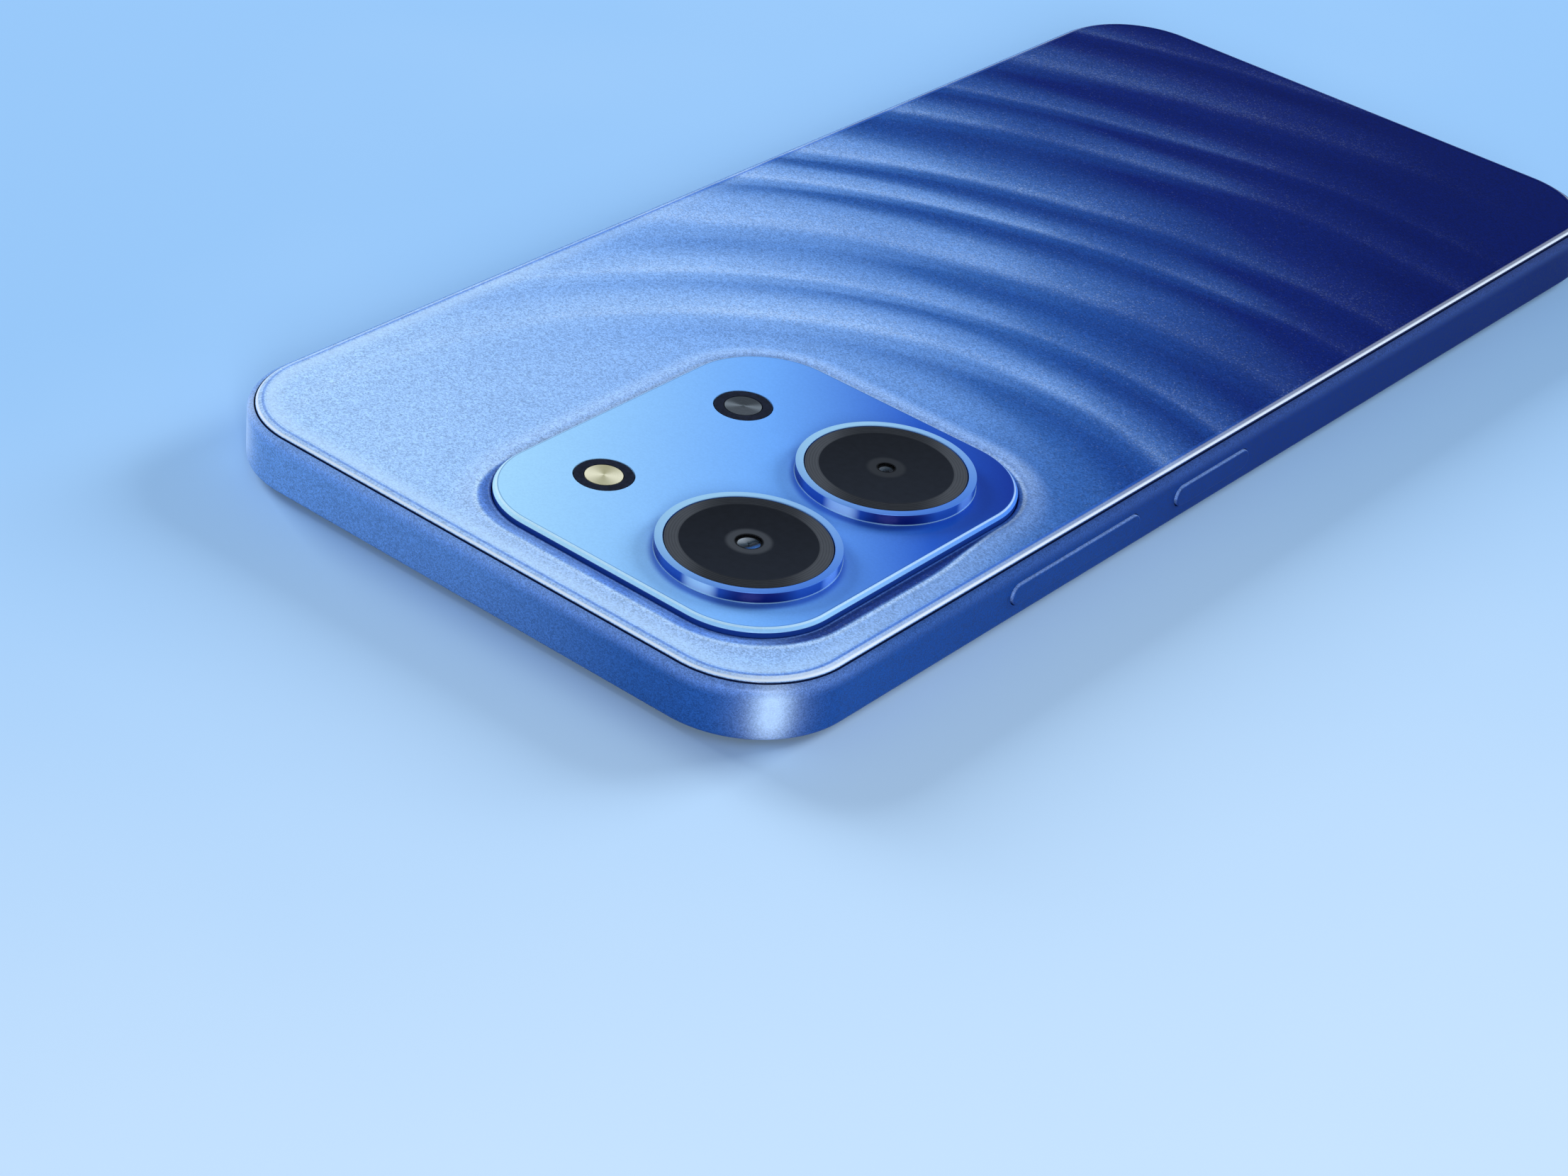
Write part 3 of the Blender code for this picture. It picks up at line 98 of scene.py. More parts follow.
# %% Camera
CAMERA_PLACE = Vector((-0.2046, 0.3089, 0.1970))
CAMERA_LOOK = Vector((0.5015, -0.6801, -0.5348)).normalized()
CAMERA_ROLL = math.radians(6.78)
FOCAL_LENGTH = 79.55
SENSOR_WIDTH = 36.0
NEAREST_SEEN = 10 * MM
UP = Vector((0, 0, 1))
DOWN = -UP

bpy.ops.object.select_all(action="DESELECT")
bpy.ops.object.camera_add()
camera = bpy.context.object
level_right = CAMERA_LOOK.cross(UP).normalized()
level_up = level_right.cross(CAMERA_LOOK)
camera_right = level_right * math.cos(CAMERA_ROLL) + level_up * math.sin(CAMERA_ROLL)
camera_up = level_up * math.cos(CAMERA_ROLL) - level_right * math.sin(CAMERA_ROLL)
camera_turn = Matrix((camera_right, camera_up, -CAMERA_LOOK)).transposed()
camera.matrix_world = Matrix.Translation(CAMERA_PLACE) @ camera_turn.to_4x4()
camera.data.sensor_fit = "HORIZONTAL"
camera.data.sensor_width = SENSOR_WIDTH
camera.data.lens = FOCAL_LENGTH
camera.data.clip_start = NEAREST_SEEN
bpy.context.scene.camera = camera
bpy.context.scene.view_settings.view_transform = "Standard"
print("camera at", tuple(round(value, 4) for value in camera.location))

# %% [markdown]
# ## Writing shader maths as Python
#
# A finish is a small tree of nodes. Wiring it node by node hides the idea, so one class wraps a socket
# and lets it be added, multiplied and compared like a number. A second class holds one finish: its
# single node-making method sets a node's options first and then its sockets, and a few short helpers
# name what the finishes share. In the finishes further down, two numbers under one name are the start
# and the end of a soft step, four are those of a band, and a bare number is a share: how strongly a
# tint or a grain shows.

# %% Sockets that behave like numbers
class Wire:
    """One output socket of a finish's node tree."""

    def __init__(self, finish, socket):
        self.finish = finish
        self.socket = socket

    def maths(self, operation, *values):
        return self.finish.node("ShaderNodeMath", {"operation": operation}, dict(enumerate(values)))

    def __add__(self, other):
        return self.maths("ADD", self, other)

    def __radd__(self, other):
        return self.maths("ADD", other, self)

    def __sub__(self, other):
        return self.maths("SUBTRACT", self, other)

    def __rsub__(self, other):
        return self.maths("SUBTRACT", other, self)

    def __mul__(self, other):
        return self.maths("MULTIPLY", self, other)

    def __rmul__(self, other):
        return self.maths("MULTIPLY", other, self)

    def __truediv__(self, other):
        return self.maths("DIVIDE", self, other)

    def __rtruediv__(self, other):
        return self.maths("DIVIDE", other, self)

    def __pow__(self, other):
        return self.maths("POWER", self, other)

    def fraction(self):
        return self.maths("FRACT", self)

    def smallest(self, other):
        return self.maths("MINIMUM", self, other)

    def largest(self, other):
        return self.maths("MAXIMUM", self, other)

    def wave(self, pitch):
        """A sine from -1 to 1 that repeats after each pitch."""
        return self.maths("SINE", self * (2 * math.pi / pitch))

    def ease(self, start, end):
        """0 before start, 1 after end and a soft step between them."""
        settings = {"interpolation_type": "SMOOTHSTEP"}
        sockets = {"Value": self, "From Min": start, "From Max": end}
        return self.finish.node("ShaderNodeMapRange", settings, sockets)

    def band(self, start, full, fade, end):
        """A soft step up from start to full, and one down again from fade to end."""
        return self.ease(start, full) * (1 - self.ease(fade, end))


# %% A finish and its node-making method
LEVEL = (1, 1, 0)


class Finish:
    """A material built round one Principled shader."""

    def __init__(self, name, roughness=0.5, metallic=0.0, **fixed):
        self.material = bpy.data.materials.new(name)
        self.material.use_nodes = True
        self.tree = self.material.node_tree
        self.shader = self.tree.nodes["Principled BSDF"]
        self.set(Roughness=roughness, Metallic=metallic, **fixed)
        self.place = self.node("ShaderNodeTexCoord", out="Object")

    def node(self, kind, settings=None, sockets=None, out=0):
        """Makes a node, sets its options, then its sockets, and returns one of its outputs."""
        made = self.tree.nodes.new(kind)
        for name, value in (settings or {}).items():
            if name == "stops":
                self.set_stops(made.color_ramp, value)
            else:
                setattr(made, name, value)
        for key, value in (sockets or {}).items():
            self.plug(made.inputs[key], value)
        return Wire(self, made.outputs[out])

    def plug(self, socket, value):
        if isinstance(value, Wire):
            self.tree.links.new(value.socket, socket)
        elif socket.type == "RGBA":
            socket.default_value = (*value, 1.0)
        else:
            socket.default_value = value

    def set(self, **sockets):
        """Sets or links sockets of the shader. An underscore in a name stands for a space."""
        for name, value in sockets.items():
            self.plug(self.shader.inputs[name.replace("_", " ")], value)

    @staticmethod
    def set_stops(ramp, stops):
        while len(ramp.elements) < len(stops):
            ramp.elements.new(1.0)
        for element, (position, colour) in zip(ramp.elements, stops):
            element.position = position
            element.color = (*colour, 1.0)

    def ramp(self, factor, *stops):
        return self.node("ShaderNodeValToRGB", {"stops": stops}, {"Fac": factor})

    def mix(self, factor, first, second):
        settings = {"data_type": "RGBA"}
        return self.node("ShaderNodeMix", settings, {0: factor, 6: first, 7: second}, out=2)

    def vector(self, operation, *values, out=0):
        return self.node("ShaderNodeVectorMath", {"operation": operation}, dict(enumerate(values)), out)

    def brighten(self, colour, amount):
        """A colour times a number."""
        return self.node("ShaderNodeVectorMath", {"operation": "SCALE"}, {0: colour, "Scale": amount})

    def axis(self, name):
        return self.node("ShaderNodeSeparateXYZ", sockets={0: self.place}, out=name)

    def noise(self, size, detail=2.0, stretch=(1, 1, 1)):
        """Soft noise whose lumps are about size across, in metres, drawn out along the axes by stretch."""
        place = self.vector("DIVIDE", self.place, stretch)
        sockets = {"Vector": place, "Scale": 1 / size, "Detail": detail}
        return self.node("ShaderNodeTexNoise", sockets=sockets)

    def sway(self, size, amount):
        """Slow noise that goes to either side of 0."""
        return (self.noise(size, 1.0) - 0.5) * amount

    def cells(self, size):
        """A random grey for each small grain."""
        sockets = {"Vector": self.place, "Scale": 1 / size}
        colour = self.node("ShaderNodeTexVoronoi", sockets=sockets, out="Color")
        return self.node("ShaderNodeSeparateColor", sockets={0: colour})

    def along(self, centre, aim):
        """How far from a centre a point lies in a level direction."""
        out = self.vector("SUBTRACT", self.place, centre)
        return self.vector("DOT_PRODUCT", out, aim, out="Value")

    def facing(self, centre, aim):
        """1 where the way out from a centre points along a level direction, and -1 on the other side."""
        out = self.vector("MULTIPLY", self.vector("SUBTRACT", self.place, centre), LEVEL)
        return self.vector("DOT_PRODUCT", self.vector("NORMALIZE", out), aim, out="Value")

    def distance_from(self, centre):
        """Distance from an upright line through centre."""
        flat = self.vector("MULTIPLY", self.place, LEVEL)
        return self.vector("DISTANCE", flat, (centre[0], centre[1], 0), out="Value")

    def outline_distance(self, centre, half, radius):
        """Distance outside a rounded rectangle seen from above. It is below 0 on the inside."""
        flat = self.vector("ABSOLUTE", self.vector("SUBTRACT", self.place, (centre[0], centre[1], 0)))
        beyond = self.vector("SUBTRACT", flat, (half[0] - radius, half[1] - radius, 0))
        level = self.vector("MULTIPLY", beyond, LEVEL)
        past_corner = self.vector("LENGTH", self.vector("MAXIMUM", level, (0, 0, 0)), out="Value")
        x = self.node("ShaderNodeSeparateXYZ", sockets={0: level}, out="X")
        y = self.node("ShaderNodeSeparateXYZ", sockets={0: level}, out="Y")
        return past_corner + x.largest(y).smallest(0.0) - radius

    def bump(self, height, depth, strength=1.0):
        """Bends the surface's normal by a height from 0 to 1, where 1 is depth metres."""
        sockets = {"Height": height, "Distance": depth, "Strength": strength}
        self.set(Normal=self.node("ShaderNodeBump", sockets=sockets))


def srgb(*levels):
    """A colour as a screen shows it, from 0 to 255, turned into the linear values that shaders use."""
    shares = [level / 255 for level in levels]
    return tuple(share / 12.92 if share <= 0.04045 else ((share + 0.055) / 1.055) ** 2.4 for share in shares)


print("shader tools ready")

# %% [markdown]
# ## The studio
#
# The phone lies on a plain pale blue floor, under soft light from the whole sky. Two broad lamps stand
# low behind it, to the left and to the right, and rake over its back. They are kept out of mirror
# images, because the glossy island would turn white where it mirrors them. A small lamp in front lights
# the walls, and that one may show in the gloss. All three stand far off, because a near lamp makes a
# hot spot on the floor. A floor could be lit to white with more light, but that would bleach the phone,
# so its own colour is pale.

# %% Floor
FLOOR_SIZE = 6.0
FLOOR_GAP = 0.02 * MM
FLOOR_AIM = (-0.85, 0.5, 0.0)
FLOOR_FADE = (-40 * MM, 170 * MM)
FLOOR_TONES = ((0.07, srgb(154, 199, 242)), (0.93, srgb(205, 229, 250)))
CLOUD = 60 * MM
CLOUD_SHARE = 0.15

bpy.ops.object.select_all(action="DESELECT")
bpy.ops.mesh.primitive_plane_add(size=FLOOR_SIZE, location=(0, 0, -FLOOR_GAP))
floor = bpy.context.object
floor.name = "floor"
bpy.ops.object.transform_apply(location=True)
floor_finish = Finish("pale_floor", roughness=0.7, Specular_IOR_Level=0.0)
# The floor's colour is a painted gradient of light: paler on the camera's side of the phone and deeper
# behind it, with a slow cloudy tone over it.
floor_light_and_cloud = floor_finish.along((0, 0, 0), FLOOR_AIM).ease(*FLOOR_FADE)
floor_light_and_cloud = floor_light_and_cloud * (1 - CLOUD_SHARE) + floor_finish.noise(CLOUD) * CLOUD_SHARE
floor_finish.set(Base_Color=floor_finish.ramp(floor_light_and_cloud, *FLOOR_TONES))
floor.data.materials.append(floor_finish.material)
floor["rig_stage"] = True
print("floor", floor.dimensions.x, "m wide")

# %% Sky and lamps
SKY_COLOUR = srgb(210, 228, 252)
SKY_STRENGTH = 0.30
LAMP_AIM = Vector((-0.01, 0.04, 0.005))


def lamp(name, place, width, height, power, mirrored):
    """A rectangular lamp that faces the phone, and shows in its gloss only where it is mirrored."""
    bpy.ops.object.light_add(type="AREA", location=place)
    light = bpy.context.object
    light.name = name
    light.rotation_euler = (LAMP_AIM - Vector(place)).to_track_quat("-Z", "Y").to_euler()
    light.data.shape = "RECTANGLE"
    light.data.size = width
    light.data.size_y = height
    light.data.energy = power
    light.visible_glossy = mirrored


world = bpy.data.worlds.new("sky")
world.use_nodes = True
bpy.context.scene.world = world
background = world.node_tree.nodes["Background"]
background.inputs["Color"].default_value = (*SKY_COLOUR, 1.0)
background.inputs["Strength"].default_value = SKY_STRENGTH
lamp("left_lamp", (2.42, -0.26, 0.92), width=1.08, height=0.90, power=62, mirrored=False)
lamp("right_lamp", (-0.67, -2.41, 0.955), width=1.08, height=0.90, power=60, mirrored=False)
lamp("front_lamp", (-1.15, 1.18, 0.63), width=0.5, height=0.5, power=16, mirrored=True)

# %% [markdown]
# ## Tools for modelling by hand
#
# Nearly every piece of a phone is a rounded plate that steps in and up: a wall, a fillet, a rim, a
# recess. So most pieces start as a plane, a cube or a cylinder, get their corners with Bevel, and are
# then taken through a section by Inset, one step after another, as one would with the mouse. Each step
# says how far in and how far along the face's normal it goes. A step with no inward part is an
# extrusion.

# %% Starting a piece
CORNER_STEPS = 28
ROUND_STEPS = 144
X, Y, Z = range(3)
TURNS = {X: (0, math.pi / 2, 0), Y: (math.pi / 2, 0, 0), Z: (0, 0, 0)}


def settle(name, size=(1, 1, 1)):
    """Names the new primitive, and puts its place and size into its mesh."""
    piece = bpy.context.object
    piece.name = name
    piece.data.name = name
    piece.scale = size
    bpy.ops.object.transform_apply(location=True, rotation=True, scale=True)
    bpy.ops.object.mode_set(mode="EDIT")
    return piece


def start_plate(name, low, high, z, corner):
    """A flat plate with round corners, left in edit mode with its face selected."""
    bpy.ops.object.select_all(action="DESELECT")
    middle = ((low[0] + high[0]) / 2, (low[1] + high[1]) / 2, z)
    bpy.ops.mesh.primitive_plane_add(size=1, location=middle)
    piece = settle(name, (high[0] - low[0], high[1] - low[1], 1))
    bpy.ops.mesh.bevel(offset=corner, segments=CORNER_STEPS, affect="VERTICES")
    bpy.ops.mesh.select_all(action="SELECT")
    return piece


def start_block(name, low, high):
    """A box between two corners, left in edit mode."""
    low, high = Vector(low), Vector(high)
    bpy.ops.object.select_all(action="DESELECT")
    bpy.ops.mesh.primitive_cube_add(size=1, location=(low + high) / 2)
    return settle(name, high - low)


def start_disc(name, place, low, high, radius, steps=ROUND_STEPS, axis=Z):
    """A cylinder along an axis through a place, from low to high on that axis, left in edit mode."""
    bpy.ops.object.select_all(action="DESELECT")
    middle = Vector(place)
    middle[axis] = (low + high) / 2
    bpy.ops.mesh.primitive_cylinder_add(vertices=steps, radius=radius, depth=high - low, location=middle,
                                        rotation=TURNS[axis])
    return settle(name)


# %% Choosing and shaping
WELD = 1e-7
SAME_WAY = 0.999


def pick(kind, test):
    """In edit mode, selects the faces or edges that pass a test, and nothing else."""
    mesh = bpy.context.edit_object.data
    bpy.ops.mesh.select_mode(type=kind)
    bpy.ops.mesh.select_all(action="DESELECT")
    shape = bmesh.from_edit_mesh(mesh)
    for item in shape.faces if kind == "FACE" else shape.edges:
        item.select_set(test(item))
    bmesh.update_edit_mesh(mesh)


def pick_facing(direction):
    """Selects the faces that look along a direction."""
    pick("FACE", lambda face: face.normal.dot(Vector(direction)) > SAME_WAY)


def round_along(axis, radius, steps):
    """Rounds the four edges of a box that run along an axis, and welds ends that meet."""
    pick("EDGE", lambda edge: abs((edge.verts[0].co - edge.verts[1].co).normalized()[axis]) > SAME_WAY)
    bpy.ops.mesh.bevel(offset=radius, segments=steps, affect="EDGES", clamp_overlap=False)
    bpy.ops.mesh.select_all(action="SELECT")
    bpy.ops.mesh.remove_doubles(threshold=WELD)


def step_through(section):
    """Takes the selected face through steps of (how far in, how far along its normal)."""
    for inward, along in section:
        bpy.ops.mesh.inset(thickness=inward, depth=along)


def quarter_round(width, height, steps=6):
    """Steps of an edge that bends from upright to flat, width in and height along."""
    turns = [math.pi / 2 * step / steps for step in range(steps + 1)]
    points = [(width * (1 - math.cos(turn)), height * math.sin(turn)) for turn in turns]
    return [(after[0] - before[0], after[1] - before[1]) for before, after in zip(points, points[1:])]


def turn_outwards():
    bpy.ops.mesh.select_all(action="SELECT")
    bpy.ops.mesh.normals_make_consistent(inside=False)


def close_outline():
    """Closes a stepped plate, which is still open below, with one face."""
    pick("EDGE", lambda edge: edge.is_boundary)
    bpy.ops.mesh.edge_face_add()
    turn_outwards()


# %% Finishing a piece
SMOOTH_ANGLE = math.radians(35)


def only(piece):
    bpy.ops.object.select_all(action="DESELECT")
    piece.select_set(True)
    bpy.context.view_layer.objects.active = piece


def object_mode(piece):
    bpy.ops.object.mode_set(mode="OBJECT")
    return piece


def finish_shape(piece):
    """Leaves edit mode and shades round edges smooth while flat faces stay flat."""
    turn_outwards()
    only(object_mode(piece))
    bpy.ops.object.shade_smooth_by_angle(angle=SMOOTH_ANGLE)
    modifier = piece.modifiers.new("even_shading", "WEIGHTED_NORMAL")
    modifier.keep_sharp = True
    bpy.ops.object.modifier_apply(modifier=modifier.name)
    return piece


def combine(piece, tools, operation):
    """Cuts tools out of a piece, or joins them to it, and removes the tools. The piece is in object mode."""
    for tool in tools:
        only(piece)
        modifier = piece.modifiers.new(tool.name, "BOOLEAN")
        modifier.operation = operation
        modifier.solver = "EXACT"
        modifier.object = tool
        bpy.ops.object.modifier_apply(modifier=modifier.name)
        bpy.data.objects.remove(tool)


def combine_and_finish(piece, tools, operation):
    combine(piece, tools, operation)
    only(piece)
    bpy.ops.object.mode_set(mode="EDIT")
    return finish_shape(piece)


def seat(piece, finish, slot, *nodes, body="phone"):
    """Gives a piece its finish, its body, and the solids that it stands for."""
    piece.data.materials.clear()
    piece.data.materials.append(finish.material)
    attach(piece, body)
    if nodes:
        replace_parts(piece, *nodes)
    print(piece.name, len(piece.data.polygons), "faces on", body)


print("modelling tools ready")

# %% [markdown]
# ## The frame
#
# The frame is one moulding: a straight wall with a small round shoulder at the back and a smaller one
# at the screen, a ledge for each cover, and a floor between them. On the phone it is moulded and then
# painted with a satin pearl. It could be lofted from profile curves, but its section is the same all
# the way round, so a plate with round corners is stepped through that section, up on one side and down
# on the other. The keys, the tray and the sockets are cut out afterwards.

# %% Frame: the wall and its ledges
CORNER_RADIUS = 12.3 * MM
SHOULDER = 0.7 * MM
FRONT_EDGE = 0.6 * MM
COVER_RIM = 0.75 * MM
GLASS_RIM = 0.95 * MM
PANEL_RIM = 2.6 * MM
WALL = 2.3 * MM
TAPE = 0.15 * MM
BOND = 0.1 * MM

frame_low, frame_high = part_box("mid_frame")
cover_low, cover_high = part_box("rear_cover")
glass_low, glass_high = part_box("front_glass")
panel_low, panel_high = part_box("display_panel")
cover_shelf = cover_low.z - TAPE
glass_shelf = glass_high.z + TAPE
floor_under = panel_high.z + BOND
floor_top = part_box("battery")[0].z - BOND

shell = start_plate("frame_shell", frame_low, frame_high, frame_low.z + FRONT_EDGE, CORNER_RADIUS)
wall_height = frame_high.z - SHOULDER - frame_low.z - FRONT_EDGE
step_through([(0, wall_height)] + quarter_round(SHOULDER, SHOULDER)
             + [(COVER_RIM - SHOULDER, 0), (0, cover_shelf - frame_high.z), (WALL - COVER_RIM, 0),
                (0, floor_top - cover_shelf)])
close_outline()
pick("FACE", lambda face: face.normal.z < -SAME_WAY and face.calc_center_median().z < floor_under)
step_through(quarter_round(FRONT_EDGE, FRONT_EDGE)
             + [(GLASS_RIM - FRONT_EDGE, 0), (0, frame_low.z - glass_shelf), (PANEL_RIM - GLASS_RIM, 0),
                (0, glass_shelf - floor_under)])
object_mode(shell)
print("frame wall", len(shell.data.polygons), "faces")

# %% Frame: places and cutting bars
KEY_NODES = ("volume_key", "power_key")
KEY_HEIGHT = 2.5 * MM
KEY_EAR = 1.2 * MM
BAR_STEPS = 14


def middle_of(node):
    low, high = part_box(node)
    return (low + high) / 2


def key_place(node):
    """The middle and length of a key's bar, which is shorter than its box by the ears."""
    low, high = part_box(node)
    middle = Vector((-frame_high.x, (low.y + high.y) / 2, high.z - KEY_HEIGHT / 2))
    return middle, high.y - low.y - 2 * KEY_EAR


def across_wall(start, end, middle, half_y, half_z):
    """The two corners of a box that runs along X from start to end, with its middle and its half sizes."""
    low = (start, middle.y - half_y, middle.z - half_z)
    high = (end, middle.y + half_y, middle.z + half_z)
    return low, high


def start_bar(name, low, high, axis):
    """A bar along an axis through the wall, whose outline has round ends."""
    piece = start_block(name, low, high)
    sizes = [size for index, size in enumerate(Vector(high) - Vector(low)) if index != axis]
    round_along(axis, min(sizes) / 2, BAR_STEPS)
    return piece


print("keys at", in_mm(key_place(node)[0] for node in KEY_NODES), "mm")

# %% Frame: slots for the keys and the tray
SEAM = 0.12 * MM
OVERCUT = 1.0 * MM
KEY_WALL = 1.2 * MM
KEY_TRAVEL = 0.25 * MM
EAR_DEPTH = 1.5 * MM
SEAT_GAP = 0.3 * MM
TRAY_HEAD_LENGTH = 16.8 * MM
TRAY_HEAD_HEIGHT = 2.4 * MM
TRAY_HEAD_DEPTH = 0.9 * MM
TRAY_CLEARANCE = 0.2 * MM
TRAY_WIDTH = 14.2 * MM
TRAY_THICKNESS = 1.2 * MM

slots = []
pockets = []
for node in KEY_NODES:
    middle, length = key_place(node)
    low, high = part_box(node)
    slot_end = frame_low.x + EAR_DEPTH + KEY_TRAVEL + 2 * BOND
    corners = across_wall(frame_low.x - OVERCUT, slot_end, middle, length / 2 + SEAM, KEY_HEIGHT / 2 + SEAM)
    slots.append(object_mode(start_bar(node + "_slot", *corners, X)))
    half_y = length / 2 + KEY_EAR + SEAT_GAP
    pocket_low = (frame_low.x + KEY_WALL, middle.y - half_y, low.z - BOND)
    pocket_high = (frame_low.x + WALL + OVERCUT, middle.y + half_y, high.z + SEAT_GAP)
    pockets.append(object_mode(start_block(node + "_pocket", pocket_low, pocket_high)))
tray_low, tray_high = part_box("sim_tray")
tray_middle = middle_of("sim_tray")
corners = across_wall(frame_high.x - TRAY_HEAD_DEPTH - SEAM, frame_high.x + OVERCUT, tray_middle,
                      TRAY_HEAD_LENGTH / 2 + SEAM, TRAY_HEAD_HEIGHT / 2 + SEAM)
slots.append(object_mode(start_bar("tray_head_slot", *corners, X)))
corners = across_wall(frame_high.x - WALL - OVERCUT, frame_high.x, tray_middle,
                      TRAY_WIDTH / 2 + TRAY_CLEARANCE, TRAY_THICKNESS / 2 + TRAY_CLEARANCE)
pockets.append(object_mode(start_block("tray_slot", *corners)))
print("slots", [item.name for item in slots])

# %% Frame: holes in the bottom end
JACK_BORE = 1.78 * MM
MICROPHONE_HOLE = 0.5 * MM
SPEAKER_HOLE = 0.7 * MM
SPEAKER_PITCH = 2.2 * MM
SPEAKER_HOLES = 6
HOLE_STEPS = 40

usb_low, usb_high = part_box("usb_port")
jack_low, jack_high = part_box("headphone_jack")
socket_z = middle_of("usb_port").z
jack_x = middle_of("headphone_jack").x
wall_out, wall_in = frame_low.y - OVERCUT, frame_low.y + WALL + OVERCUT

slots.append(object_mode(start_bar("usb_slot", (usb_low.x - SEAM, wall_out, usb_low.z - SEAM),
                                   (usb_high.x + SEAM, wall_in, usb_high.z + SEAM), Y)))
round_holes = [(jack_x, JACK_BORE + SEAM), (middle_of("microphone").x, MICROPHONE_HOLE)]
for hole in range(SPEAKER_HOLES):
    from_middle = SPEAKER_PITCH * (hole - (SPEAKER_HOLES - 1) / 2)
    round_holes.append((middle_of("speaker_box").x + from_middle, SPEAKER_HOLE))
for x, radius in round_holes:
    drill = start_disc("end_hole", (x, 0, socket_z), wall_out, wall_in, radius, HOLE_STEPS, Y)
    slots.append(object_mode(drill))
for low, high in ((usb_low, usb_high), (jack_low, jack_high)):
    bay_low = (low.x - SEAT_GAP, frame_low.y + WALL + SEAT_GAP / 2, floor_under - SEAT_GAP)
    bay_high = (high.x + SEAT_GAP, high.y + SEAT_GAP, floor_top + SEAT_GAP)
    pockets.append(object_mode(start_block("socket_bay", bay_low, bay_high)))
combine_and_finish(shell, slots + pockets, "DIFFERENCE")
print("frame", len(shell.data.polygons), "faces,", len(round_holes), "round holes")

# %% [markdown]
# ## The rear cover
#
# The cover is a moulded panel with a polished round edge, a fine groove inside it, a frosted field, and
# a soft bead round the camera island: the field climbs to a low crest and falls again to a lip at the
# island's foot. One could sculpt the bead. Here two rounded plates are stepped through their own
# sections, the edge inwards from the phone's outline and the bead inwards to the island's, and Fill
# then closes the flat field between them.

# %% Rear cover: edge, bead and field
COVER_EDGE_BAND = 1.1 * MM
COVER_CROWN = 0.55 * MM
COVER_EDGE_STEPS = 12
GROOVE_WIDTH = 0.14 * MM
GROOVE_DEPTH = 0.04 * MM
BEAD_WIDTH = 3.6 * MM
BEAD_HEIGHT = 0.3 * MM
BEAD_LIP = 0.12 * MM
BEAD_CREST = 1.5 * MM
BEAD_STEPS = 14
EDGE_STEPS = 4
ISLAND_CORNER = 10.0 * MM
ISLAND_FLANGE = 1.2 * MM

island_low, island_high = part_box("camera_island")
island_middle = middle_of("camera_island")
island_half = (island_high - island_low) / 2 - Vector((ISLAND_FLANGE, ISLAND_FLANGE, 0))
parting_z = frame_high.z
field_z = parting_z + COVER_CROWN
cover_corner = CORNER_RADIUS - COVER_RIM - SEAM


def soft_climb(width, height, steps):
    """Steps of a slope that starts flat, climbs and ends flat."""
    shares = [step / steps for step in range(steps + 1)]
    heights = [height * share * share * (3 - 2 * share) for share in shares]
    return [(width / steps, after - before) for before, after in zip(heights, heights[1:])]


def turn_down(radius, steps):
    """Steps of an edge that bends from flat to straight down."""
    return [(inward, -along) for inward, along in reversed(quarter_round(radius, radius, steps))]


panel = start_plate("back_panel", cover_low, cover_high, cover_low.z, cover_corner)
step_through([(0, parting_z - cover_low.z)] + quarter_round(COVER_EDGE_BAND, COVER_CROWN, COVER_EDGE_STEPS)
             + [(GROOVE_WIDTH / 2, -GROOVE_DEPTH), (GROOVE_WIDTH / 2, GROOVE_DEPTH)])
bpy.ops.mesh.delete(type="ONLY_FACE")
object_mode(panel)
bead_reach = SEAM + BEAD_WIDTH
half_x, half_y = island_half.x + bead_reach, island_half.y + bead_reach
bead = start_plate("swell", (island_middle.x - half_x, island_middle.y - half_y),
                   (island_middle.x + half_x, island_middle.y + half_y), field_z, ISLAND_CORNER + bead_reach)
step_through(soft_climb(BEAD_WIDTH - BEAD_CREST, BEAD_HEIGHT, BEAD_STEPS)
             + soft_climb(BEAD_CREST - BEAD_LIP, -BEAD_HEIGHT, BEAD_STEPS)
             + turn_down(BEAD_LIP, EDGE_STEPS) + [(0, cover_low.z - field_z + BEAD_LIP)])
bpy.ops.mesh.delete(type="ONLY_FACE")
object_mode(bead)
only(panel)
bead.select_set(True)
bpy.ops.object.join()
bpy.ops.object.mode_set(mode="EDIT")
for edge_z in (field_z, cover_low.z):
    pick("EDGE", lambda edge: edge.is_boundary and abs(edge.verts[0].co.z - edge_z) < GROOVE_DEPTH / 4)
    bpy.ops.mesh.fill(use_beauty=True)
finish_shape(panel)
panel_top = max(vertex.co.z for vertex in panel.data.vertices)
print("rear cover", len(panel.data.polygons), "faces, top at", round(panel_top / MM, 2))

# %% [markdown]
# ## The camera island
#
# The island is a glossy plate with a bright chamfer. A flange under the cover holds it, and two large
# and two small round holes take the lens rings and the lamp windows. It could be cut from a block, but
# it is stepped through its section like the frame, so that the chamfer runs evenly round it, and the
# holes are cut with cylinders.

# %% Camera island
ISLAND_FLANGE_THICKNESS = 0.5 * MM
ISLAND_CHAMFER = 0.45 * MM
ISLAND_CHAMFER_STEPS = [(0.03 * MM, 0.07 * MM), (0.34 * MM, 0.34 * MM), (0.08 * MM, 0.04 * MM)]
ISLAND_PLATE = 0.9 * MM
ISLAND_WALL = 1.2 * MM
LAMP_RADIUS = 3.24 * MM
RING_RIM = 0.95 * MM
RINGS = {"upper": "lens_ring_upper", "lower": "lens_ring_lower"}


def radius_of(node):
    low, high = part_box(node)
    return (high.x - low.x) / 2


ring_radius = radius_of(RINGS["upper"])
island_top = island_high.z
chamfer_foot = island_top - ISLAND_CHAMFER

